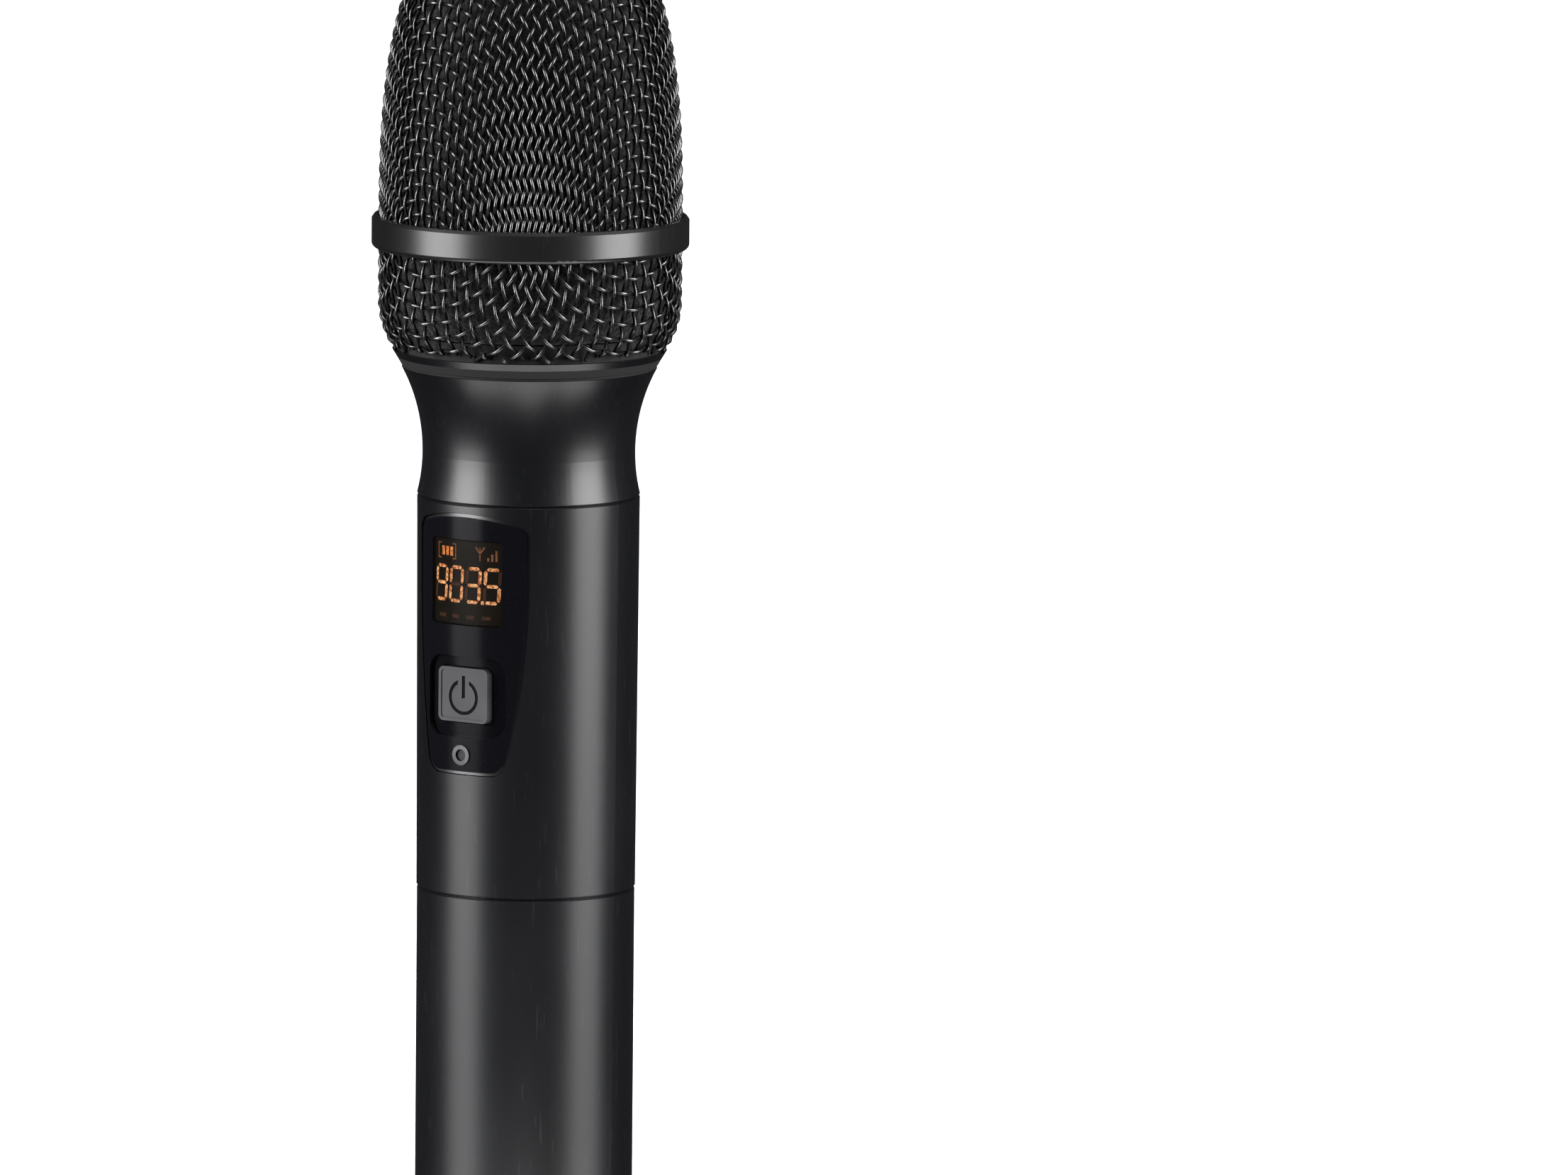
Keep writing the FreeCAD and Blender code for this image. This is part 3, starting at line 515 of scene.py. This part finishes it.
class Drape:  # a surface of revolution measured outwards from its pole; the net lies on a flatter copy of it
    def __init__(self, radii, heights, flip, ease):
        radii, heights = np.asarray(radii), np.asarray(heights)
        steps = np.hypot(np.diff(radii), np.diff(heights))
        self.run = np.concatenate([[0.0], np.cumsum(steps)])
        self.radii, self.heights, self.flip = radii, heights, flip
        self.slopeR = np.gradient(radii, self.run)
        self.slopeZ = np.gradient(heights, self.run)
        spread = np.diff(radii) / steps
        share = (self.run[1:] + self.run[:-1]) / 2 / self.run[-1]
        spread += (ease[0] * (1 - share) + ease[1] * share) * (1 - spread)
        fall = np.sqrt(np.clip(1 - spread**2, 0, None))
        self.netR = np.concatenate([[0.0], np.cumsum(spread * steps)])
        self.netZ = np.concatenate([[0.0], np.cumsum(fall * steps)])
        self.netSlopeR = np.gradient(self.netR, self.run)
        self.netSlopeZ = np.gradient(self.netZ, self.run)

    def at(self, run, turn):
        r, z = np.interp(run, self.run, self.radii), np.interp(run, self.run, self.heights)
        return np.array([r * math.cos(turn), r * math.sin(turn), z])

    def onNet(self, run, turn):
        r, z = np.interp(run, self.run, self.netR), np.interp(run, self.run, self.netZ)
        return np.array([r * math.cos(turn), r * math.sin(turn), z])

    def netSlopes(self, run, turn):
        dr, dz = np.interp(run, self.run, self.netSlopeR), np.interp(run, self.run, self.netSlopeZ)
        r = max(np.interp(run, self.run, self.netR), 1e-6)
        outwards = np.array([dr * math.cos(turn), dr * math.sin(turn), dz])
        around = np.array([-r * math.sin(turn), r * math.cos(turn), 0.0])
        return outwards, around

    def normal(self, run, turn):
        dr, dz = np.interp(run, self.run, self.slopeR), np.interp(run, self.run, self.slopeZ)
        n = self.flip * np.array([-dz * math.cos(turn), -dz * math.sin(turn), dr])
        return n / np.linalg.norm(n)

    def crossing(self, left, right, back, pitch):  # the point one pitch from both of its neighbours
        a, b = self.onNet(*left), self.onNet(*right)
        guess = a + b - self.onNet(*back)
        turn = math.atan2(guess[1], guess[0])
        run = np.interp(math.hypot(guess[0], guess[1]), self.netR, self.run)
        start = (run, turn)
        for _ in range(weave["turns"]):
            p = self.onNet(run, turn)
            miss = np.array([(p - a) @ (p - a), (p - b) @ (p - b)]) - pitch**2
            outwards, around = self.netSlopes(run, turn)
            rows = np.array([[2 * (p - a) @ outwards, 2 * (p - a) @ around],
                             [2 * (p - b) @ outwards, 2 * (p - b) @ around]])
            if abs(np.linalg.det(rows)) < 1e-16:
                return start
            step = np.linalg.solve(rows, miss)
            reach, swing = abs(step[0]) + 1e-12, abs(step[1]) + 1e-12
            scale = min(1.0, weave["reach"] * pitch / reach, weave["swing"] / swing)
            run, turn = run - step[0] * scale, turn - step[1] * scale
        found = np.linalg.norm(self.onNet(run, turn) - a)
        outside = run > max(left[0], right[0]) - weave["fold"] * pitch
        fits = abs(found - pitch) < weave["misfit"] * pitch
        return (run, turn) if fits and outside else start

    def crossings(self, pitch):  # one quarter of the sheet, as (run, turn) by wire numbers
        end = self.run[-1]
        count = int(end / pitch) + 2
        found = {(0, 0): (0.0, 0.0)}
        for k in range(1, count):
            if k * pitch <= end:
                found[k, 0] = (k * pitch, 0.0)
                found[0, k] = (k * pitch, math.pi / 2)
        for total in range(2, 2 * count):
            for i in range(1, total):
                j = total - i
                ends = [found.get(key) for key in ((i - 1, j), (i, j - 1), (i - 1, j - 1))]
                if None in ends:
                    continue
                spot = self.crossing(*ends, pitch)
                if spot[0] < end:
                    found[i, j] = spot
        return found


def wireFamily(drape, found, swap, keep):  # all wires that run one way, woven over and under
    size = max(key[0] for key in found) + 1
    rise = weave["wire"] / 2
    spin = math.radians(weave["sheetTurn"])
    turnBy = np.array([[math.cos(spin), -math.sin(spin), 0], [math.sin(spin), math.cos(spin), 0], [0, 0, 1]])
    parts = []
    for i in range(-size, size + 1):
        nodes = []
        for j in range(-size, size + 1):
            spot = found.get((abs(j), abs(i)) if swap else (abs(i), abs(j)))
            if spot is None:
                nodes.append(None)
                continue
            flips = np.array([-1 if (j if swap else i) < 0 else 1, -1 if (i if swap else j) < 0 else 1, 1])
            over = 1 if (i + j + swap) % 2 == 0 else -1
            nodes.append((drape.at(*spot) * flips, drape.normal(*spot) * flips, over))
        stretch = []
        for here in nodes + [None]:
            if here is not None:
                stretch.append(here)
                continue
            if len(stretch) > 1:
                parts += wireRuns(stretch, rise, turnBy, keep)
            stretch = []
    return gather(parts)


def wireRuns(stretch, rise, turnBy, keep):
    points, normals = [], []
    for (a, an, over), (b, bn, _) in zip(stretch, stretch[1:]):
        for k in range(weave["samples"]):
            t = k / weave["samples"]
            n = an * (1 - t) + bn * t
            points.append(turnBy @ (a * (1 - t) + b * t + n * over * rise * math.cos(math.pi * t)))
            normals.append(turnBy @ n)
    last, lastNormal, lastOver = stretch[-1]
    points.append(turnBy @ (last + lastNormal * lastOver * rise))
    normals.append(turnBy @ lastNormal)
    runs, current = [], []
    for p, n in zip(points + [None], normals + [None]):
        if p is not None and keep(p):
            current.append((p, n))
            continue
        if len(current) >= weave["shortest"]:
            path, out = (np.array(side) for side in zip(*current))
            runs.append(tubeMesh(path, out, weave["wire"] / 2, weave["sides"]))
        current = []
    return runs


def domeDrape(node, foot, deep):  # the dome's outline, set in by half the cloth's thickness
    low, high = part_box(node)
    top = high.z
    radius = high.x - deep
    rise = top - foot - deep
    curved, straight = weave["domeSteps"]
    spots = np.linspace(0, math.pi / 2, curved)[::-1]
    power = 2 / weave["domePower"]
    radii = radius * np.cos(spots) ** power
    heights = foot + rise * np.sin(spots) ** power
    radii[0] = 0.0
    skirt = np.linspace(foot, low.z - weave["pitch"], straight)[1:]
    radii = np.concatenate([radii, np.full(len(skirt), radius)])
    return Drape(radii, np.concatenate([heights, skirt]), 1, weave["domeEase"])


def cupDrape(deep):  # lower cup, measured from the middle of the hole that the collar fills
    low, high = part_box("grille_mesh_lower")
    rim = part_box("grille_collar")[1].x - deep
    wall = high.x - deep
    foot = low.z + weave["cupLift"]
    belly = weave["belly"] * mm
    across, curved, straight = weave["cupSteps"]
    inset = wall - rim
    bend = (belly**2 + inset**2) / (2 * inset)
    climb = np.linspace(0, belly, curved)
    flank = wall - bend + np.sqrt(bend**2 - (belly - climb) ** 2)
    up = np.linspace(belly, high.z - foot + weave["cupPitch"], straight)[1:]
    flat = np.linspace(0, rim, across)[:-1]
    radii = np.concatenate([flat, flank, np.full(len(up), wall)])
    heights = foot + np.concatenate([np.zeros(len(flat)), climb, up])
    return Drape(radii, heights, -1, weave["cupEase"])


def addGrille():
    domeWire = wovenWire("domeWire", domeDepth)
    cupWire = wovenWire("cupWire", cupDepth)
    deep = weave["wire"]
    bandFoot, bandTop = (corner.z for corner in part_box("grille_band"))
    dome = domeDrape("grille_mesh_upper", bandTop, deep)
    found = dome.crossings(weave["pitch"])
    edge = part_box("grille_mesh_upper")[0].z + deep / 2
    for name, swap in (("domeWarp", 0), ("domeWeft", 1)):
        verts, faces = wireFamily(dome, found, swap, lambda p: p[2] > edge)
        piece = addPiece(name, verts, faces, domeWire, "grille", "woven_steel")
        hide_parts("grille_mesh_upper")
        print(name, len(faces), "faces")
    cup = cupDrape(deep)
    cupFound = cup.crossings(weave["cupPitch"])
    cupLow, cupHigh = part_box("grille_mesh_lower")
    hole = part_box("grille_collar")[1].x - deep

    def inCup(p):
        return p[2] < cupHigh.z - deep / 2 and math.hypot(p[0], p[1]) > hole

    for name, swap in (("cupWarp", 0), ("cupWeft", 1)):
        verts, faces = wireFamily(cup, cupFound, swap, inCup)
        piece = addPiece(name, verts, faces, cupWire, "grille", "woven_steel")
        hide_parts("grille_mesh_lower")
        print(name, len(faces), "faces")


foam = {
    "wall": 3.0 * mm,
    "rough": 0.25 * mm,
    "steps": 120,
    "rows": 70,
    "footInset": 0.4 * mm,  # the skirt tapers to this far inside the collar
    "taper": 4.6 * mm,      # height of that taper
    "crownGap": 0.02,       # radians left open at the crown
    "lump": 1.1 * mm,       # size of the foam's unevenness
    "depth": 0.9,           # its height as a share of the rough layer
}


def addFoam():
    low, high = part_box("foam_liner")
    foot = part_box("grille_band")[1].z
    slack = foam["rough"]
    power = 2 / weave["domePower"]

    def wall(radius, rise, spots):
        return [(radius * math.cos(s) ** power, foot + rise * math.sin(s) ** power) for s in spots]

    spots = np.linspace(0, math.pi / 2 - foam["crownGap"], foam["rows"])
    outer = wall(high.x - slack, high.z - foot - slack, spots)
    inner = wall(high.x - foam["wall"], high.z - foot - foam["wall"], spots[::-1])
    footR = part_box("grille_collar")[1].x - foam["footInset"]
    climb = np.linspace(0, 1, 8)[:-1]
    taper = [(footR + (high.x - footR) * t - slack, low.z + foam["taper"] * t) for t in climb]
    skirt = [(high.x - slack, z) for z in np.linspace(low.z + foam["taper"], foot, 16)[:-1]]
    liner = [(high.x - foam["wall"], z) for z in np.linspace(foot, low.z, 22)[1:]]
    verts, faces = latheMesh(taper + skirt + outer + inner + liner, foam["steps"])
    shaken = []
    for v in verts:
        p = Vector(v)
        away = Vector((p.x, p.y, 0)).normalized()
        shaken.append(p + away * slack * foam["depth"] * noise.noise(p / foam["lump"]))
    piece = addPiece("popFoam", shaken, faces, popFoam(), "foam", "pop_foam")
    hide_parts("foam_liner")
    print("foam liner made")


# Display: bars on the curved film behind the window

display = {
    "digits": "9035",
    "digitHeight": 5.6 * mm,
    "digitWidth": 2.45 * mm,
    "digitPitch": 3.45 * mm,
    "bar": 0.56 * mm,
    "slant": 0.06,
    "thick": 0.04 * mm,
    "digitLift": -0.4 * mm,
    "dotAcross": 1.02,      # in digit pitches from the middle
    "dot": (-0.28, 0.28, -0.3, 0.28),
    "iconLift": 5.0 * mm,
    "barGap": 0.30,         # space at each end of a bar, as a share of its width
    "armWidth": 0.25 * mm,
}
# Boxes as left, right, foot and top in mm, about the middle of their row
batteryBars = [(x, x + 0.62, -0.75, 0.75) for x in (-5.1, -4.1, -3.1)]
batteryCase = [
    (-5.9, -2.0, 1.15, 1.35),
    (-5.9, -2.0, -1.35, -1.15),
    (-6.1, -5.9, -1.35, 1.35),
    (-2.0, -1.8, -1.35, 1.35),
]
signalBars = [(2.9, 3.1, -1.2, 1.0)] + [(x, x + 0.35, -1.2, (x - 5.0) * 0.9) for x in (4.3, 5.0, 5.7)]
footRow = [(x, x + 1.6, -6.1, -5.5) for x in (-5.6, -2.6, 0.4, 3.4)]
segmentBars = {  # each bar runs between two corners of the digit's frame, given as (across, up) from 0 to 1
    "a": ((0, 1), (1, 1)),
    "b": ((1, 1), (1, 0.5)),
    "c": ((1, 0.5), (1, 0)),
    "d": ((0, 0), (1, 0)),
    "e": ((0, 0.5), (0, 0)),
    "f": ((0, 1), (0, 0.5)),
    "g": ((0, 0.5), (1, 0.5)),
}
segmentsOf = {"9": "abcdfg", "0": "abcdef", "3": "abcdg", "5": "acdfg"}


def barOutline(start, end, width):  # six-sided bar with pointed ends, drawn in the display's plane
    start, end = Vector(start), Vector(end)
    along = (end - start).normalized()
    side = Vector((-along.y, along.x)) * width / 2
    gap = along * width * display["barGap"]
    point = along * width / 2
    a, b = start + gap, end - gap
    return [a, a + point + side, b - point + side, b, b - point - side, a + point - side]


def curvedPlate(outline, radius, thick, middle):  # outline (across, up) wrapped on a cylinder facing -Y
    def wrap(p, r):
        return (p.x, -math.sqrt(r**2 - p.x**2), middle + p.y)

    count = len(outline)
    verts = [wrap(p, radius + thick) for p in outline] + [wrap(p, radius) for p in outline]
    faces = [tuple(range(count)), tuple(reversed(range(count, 2 * count)))]
    faces += [(k, k + count, (k + 1) % count + count, (k + 1) % count) for k in range(count)]
    return verts, faces


def rectangles(boxes, lift):
    outlines = []
    for x0, x1, z0, z1 in boxes:
        corners = ((x0, z0), (x1, z0), (x1, z1), (x0, z1))
        outlines.append([Vector((x * mm, lift + z * mm)) for x, z in corners])
    return outlines


def digitBars(place, names):
    w, h = display["digitWidth"], display["digitHeight"]
    left = (place - 1.5) * display["digitPitch"] - w / 2
    low = display["digitLift"] - h / 2
    outlines = []
    for name in names:
        corners = []
        for across, up in segmentBars[name]:
            lean = display["slant"] * (up - 0.5) * h
            corners.append((left + across * w + lean, low + up * h))
        outlines.append(barOutline(*corners, display["bar"]))
    return outlines


def addDisplay():
    low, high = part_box("display_module")
    radius = -low.y + 0.02 * mm
    middle = (low.z + high.z) / 2
    lit, dim = [], []
    for place, digit in enumerate(display["digits"]):
        lit += digitBars(place, segmentsOf[digit])
        dim += digitBars(place, [name for name in segmentBars if name not in segmentsOf[digit]])
    dotX = display["dotAcross"] * display["digitPitch"] / mm
    x0, x1, z0, z1 = display["dot"]
    lit += rectangles([(dotX + x0, dotX + x1, z0, z1)], display["digitLift"] - display["digitHeight"] / 2)
    icon = display["iconLift"]
    mast = rectangles(signalBars, icon)
    for armX in (2.1 * mm, 3.9 * mm):
        mast.append(barOutline((armX, icon + 1.2 * mm), (3.0 * mm, icon), display["armWidth"]))
    orange = glowSegment("litSegment", (0.36, 0.08, 0.015), (0.95, 0.50, 0.22), 0.62)
    amber = glowSegment("warmIcon", (0.45, 0.10, 0.02), (0.80, 0.30, 0.08), 0.7)
    faint = glowSegment("faintIcon", (0.20, 0.07, 0.03), (0.28, 0.12, 0.06), 0.25)
    # the unlit bars and the foot row get a faint glow, a painted light for their ghost behind the window;
    # they are no lamp
    paintedGhostGlow = glowSegment("unlitSegmentPaintedGlow", (0.05, 0.02, 0.01), (0.07, 0.03, 0.015), 0.12)
    sets = (
        ("litDigits", lit, orange),
        ("batteryBars", rectangles(batteryBars, icon), amber),
        ("batteryCase", rectangles(batteryCase, icon), faint),
        ("signalIcon", mast, faint),
        ("footRow", rectangles(footRow, 0.0), paintedGhostGlow),
        ("unlitBars", dim, paintedGhostGlow),
    )
    for name, outlines, material in sets:
        plates = [curvedPlate(outline, radius, display["thick"], middle) for outline in outlines]
        addPiece(name, *gather(plates), material, "handset", "display_body", smooth=False)
    print("display made")


# Power sign laid in the key's groove

sign = {
    "drop": 0.4 * mm,       # the ring's middle below the key's
    "outer": 2.97 * mm,
    "inner": 2.43 * mm,
    "gap": 25.5,            # degrees each side of the top
    "bar": (0.30 * mm, -0.55 * mm, 3.15 * mm),  # half width, foot and top about the key's middle
    "face": 0.35 * mm,      # how far the inlay's face lies behind the key's rim
    "thick": 0.05 * mm,
    "steps": 48,
}


def addPowerSign():
    keyLow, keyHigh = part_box("power_button")
    middle = (keyLow.z + keyHigh.z) / 2
    front = keyLow.y + sign["face"]
    back = front + sign["thick"]
    steps = sign["steps"]
    turns = np.radians(np.linspace(sign["gap"], 360 - sign["gap"], steps))
    outer, inner = sign["outer"], sign["inner"]
    parts = []
    verts, faces = [], []
    for turn in turns:
        for radius, y in ((outer, front), (inner, front), (inner, back), (outer, back)):
            verts.append((radius * math.sin(turn), y, middle - sign["drop"] + radius * math.cos(turn)))
    for k in range(steps - 1):
        for p in range(4):
            q = (p + 1) % 4
            faces.append((4 * k + p, 4 * k + q, 4 * k + 4 + q, 4 * k + 4 + p))
    faces += [(3, 2, 1, 0), tuple(4 * (steps - 1) + p for p in range(4))]
    parts.append((verts, faces))
    half, low, high = sign["bar"]
    ends = (middle + low, middle + high)
    corners = [(x, y, z) for x in (-half, half) for y in (front, back) for z in ends]
    box = [(0, 1, 3, 2), (4, 6, 7, 5), (0, 4, 5, 1), (2, 3, 7, 6), (0, 2, 6, 4), (1, 5, 7, 3)]
    parts.append((corners, box))
    ink = moulded("signInk", (0.001, 0.001, 0.0012), 0.7, 0.2, 0.01, 0.05)
    addPiece("powerSign", *gather(parts), ink, "key", "dark_plastic", smooth=False)


# Screw threads and springs

threads = {
    "pitch": 1.5 * mm,
    "stepsPerTurn": 72,
    "foot": 0.36,           # half the rib's width at its foot, in pitches
    "top": 0.12,            # and at its crest
    "fade": 8.0,            # how fast the rib rises from each end
    "start": 0.05,
    # Each rib's radii, and its two ends above the foot of the node it is cut in
    "sleeve_coupler": {"root": 16.38 * mm, "crest": 16.8 * mm, "ends": (1.1 * mm, 6.1 * mm)},
    "battery_sleeve": {"root": 17.02 * mm, "crest": 16.87 * mm, "ends": (71.0 * mm, 78.8 * mm)},
    "neck_thread_ring": {"root": 19.98 * mm, "crest": 20.22 * mm, "ends": (9.8 * mm, 15.6 * mm)},
    "grille_collar": {"root": 20.32 * mm, "crest": 20.25 * mm, "ends": (0.6 * mm, 5.1 * mm)},
}


def threadRidge(node):  # one raised helical rib that fades in and out
    root, crest = threads[node]["root"], threads[node]["crest"]
    low, high = (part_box(node)[0].z + end for end in threads[node]["ends"])
    pitch, foot, top = threads["pitch"], threads["foot"], threads["top"]
    turns = (high - low) / pitch
    count = round(turns * threads["stepsPerTurn"])
    verts, faces = [], []
    for k in range(count + 1):
        turn = 2 * math.pi * turns * k / count
        z = low + (high - low) * k / count
        fade = min(1.0, threads["fade"] * min(k, count - k) / count + threads["start"])
        tip = root + (crest - root) * fade
        for radius, lift in ((root, -foot), (tip, -top), (tip, top), (root, foot)):
            verts.append((radius * math.cos(turn), radius * math.sin(turn), z + lift * pitch))
    for k in range(count):
        for p in range(4):
            q = (p + 1) % 4
            faces.append((4 * k + p, 4 * k + 4 + p, 4 * k + 4 + q, 4 * k + q))
    faces += [(0, 1, 2, 3), tuple(4 * count + p for p in reversed(range(4)))]
    return verts, faces


def addThreads(alloy, shell):
    places = (
        ("couplerThread", "sleeve_coupler", "handset", "thread_alloy", alloy),
        ("sleeveThread", "battery_sleeve", "sleeve", "satin_shell", shell),
        ("neckThread", "neck_thread_ring", "handset", "thread_alloy", alloy),
        ("collarThread", "grille_collar", "grille", "satin_shell", shell),
    )
    for name, node, body, slot, material in places:
        verts, faces = threadRidge(node)
        addPiece(name, verts, faces, material, body, slot)
    print("threads made")


spring = {"wide": 4.0 * mm, "narrow": 2.4 * mm, "wire": 0.35 * mm, "turns": 5.5, "perTurn": 28, "sides": 8}


def coilPath(x, low, high, wideLow):
    count = int(spring["turns"] * spring["perTurn"])
    points, normals = [], []
    for k in range(count + 1):
        t = k / count
        share = t if wideLow else 1 - t
        radius = spring["wide"] + (spring["narrow"] - spring["wide"]) * share
        turn = 2 * math.pi * spring["turns"] * t
        out = np.array([math.cos(turn), math.sin(turn), 0.0])
        z = low + spring["wire"] + (high - low - 2 * spring["wire"]) * t
        points.append(np.array([x, 0, z]) + radius * out)
        normals.append(out)
    return tubeMesh(points, np.array(normals), spring["wire"], spring["sides"])


def addSprings(material):
    left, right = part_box("battery_cell_left"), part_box("battery_cell_right")
    low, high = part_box("battery_springs")
    leftX = (left[0].x + left[1].x) / 2
    rightX = (right[0].x + right[1].x) / 2
    coils = [coilPath(leftX, low.z, left[0].z, True), coilPath(rightX, right[1].z, high.z, False)]
    piece = addPiece("contactSprings", *gather(coils), material, "handset", "nickel")
    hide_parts("battery_springs")


def dressNodes(finishes):  # each kept CAD node takes the finish of its piece
    for names, material in finishes:
        for name in names.split():
            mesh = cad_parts[name].data
            mesh.materials.clear()
            mesh.materials.append(material)


def addFloor():
    steps = 96
    radius = studio["floorRadius"]
    verts = [(radius * math.cos(2 * math.pi * k / steps), radius * math.sin(2 * math.pi * k / steps), 0)
             for k in range(steps)]
    mesh = bpy.data.meshes.new("studioFloor")
    mesh.from_pydata(verts, [], [tuple(range(steps))])
    mesh.materials.append(studioFloor())
    obj = link(bpy.data.objects.new("studioFloor", mesh))
    obj.visible_glossy = False
    obj.visible_diffuse = False


addCamera()
addStudio()
addFloor()
print("camera and studio made")

shell = satinShell("satinShell", (0.0026, 0.0027, 0.0036), 0.32, 0.62)
collarShell = satinShell("collarShell", (0.0026, 0.0027, 0.0036), 0.32, 0.62, 22.2)
bandCoat = satinShell("bandCoat", (0.005, 0.005, 0.0055), 0.31, 0.85)
alloy = machined("threadAlloy", (0.42, 0.42, 0.44))
nickel = machined("nickelPlate", (0.70, 0.68, 0.63), 0.22)
dressNodes([
    ("battery_sleeve upper_tube neck_shell", shell),
    ("grille_collar", collarShell),
    ("grille_band", bandCoat),
    ("end_cap", moulded("capPlastic", (0.022, 0.022, 0.023), 0.45, 0.4)),
    ("control_panel", glossPanel()),
    ("display_lens", smokedWindow()),
    ("display_module", displayFace()),
    ("power_button", moulded("keyPlastic", (0.021, 0.021, 0.023), 0.5, 0.25, 0.006, 0.27)),
    ("indicator_ring", machined("chromeRing", (0.052, 0.052, 0.055), 0.34, 0.4)),
    ("indicator_light_pipe", moulded("darkPipe", (0.003, 0.003, 0.004), 0.7, 0.5, 0.004)),
    ("neck_thread_ring sleeve_coupler", alloy),
    ("battery_tray chassis_frame", moulded("frameAbs", (0.028, 0.028, 0.030), 0.5, 0.5)),
    ("battery_cell_left", cellSleeve("battery_cell_left", True)),
    ("battery_cell_right", cellSleeve("battery_cell_right", False)),
    ("contact_plates", nickel),
    ("battery_leads", wireJacket("redJacket", (0.42, 0.02, 0.015))),
    ("antenna_lead capsule_leads", wireJacket("greyJacket", (0.07, 0.07, 0.075))),
    ("antenna_rod", machined("antennaBrass", (0.70, 0.50, 0.20), 0.28)),
    ("antenna_grommet coupler_seal grille_gasket shock_mount", softRubber()),
    ("main_board capsule_terminals", boardMask()),
    ("rf_shield display_pins", machined("tinPlate", (0.60, 0.60, 0.58), 0.3)),
    ("board_chips power_switch", moulded("chipEpoxy", (0.015, 0.015, 0.016), 0.6, 0.2)),
    ("board_capacitors", moulded("capacitorFilm", (0.015, 0.03, 0.10), 0.3, 0.6, 0.006)),
    ("board_screws", machined("zincScrew", (0.58, 0.58, 0.60), 0.3)),
    ("indicator_led", moulded("lampResin", (0.35, 0.33, 0.28), 0.3, 0.3, 0.004)),
    ("capsule_housing capsule_cap", machined("capsuleAlloy", (0.52, 0.52, 0.54), 0.3)),
    ("capsule_yoke capsule_pole", machined("yokeSteel", (0.46, 0.46, 0.45), 0.32)),
    ("capsule_magnet", machined("magnetPlate", (0.34, 0.34, 0.36), 0.25)),
    ("diaphragm", thinFilm()),
    ("voice_coil", machined("coilCopper", (0.62, 0.28, 0.13), 0.3, 0.08)),
])
print("CAD nodes dressed")

addGrille()
addFoam()
addDisplay()
addPowerSign()
addThreads(alloy, shell)
addSprings(nickel)
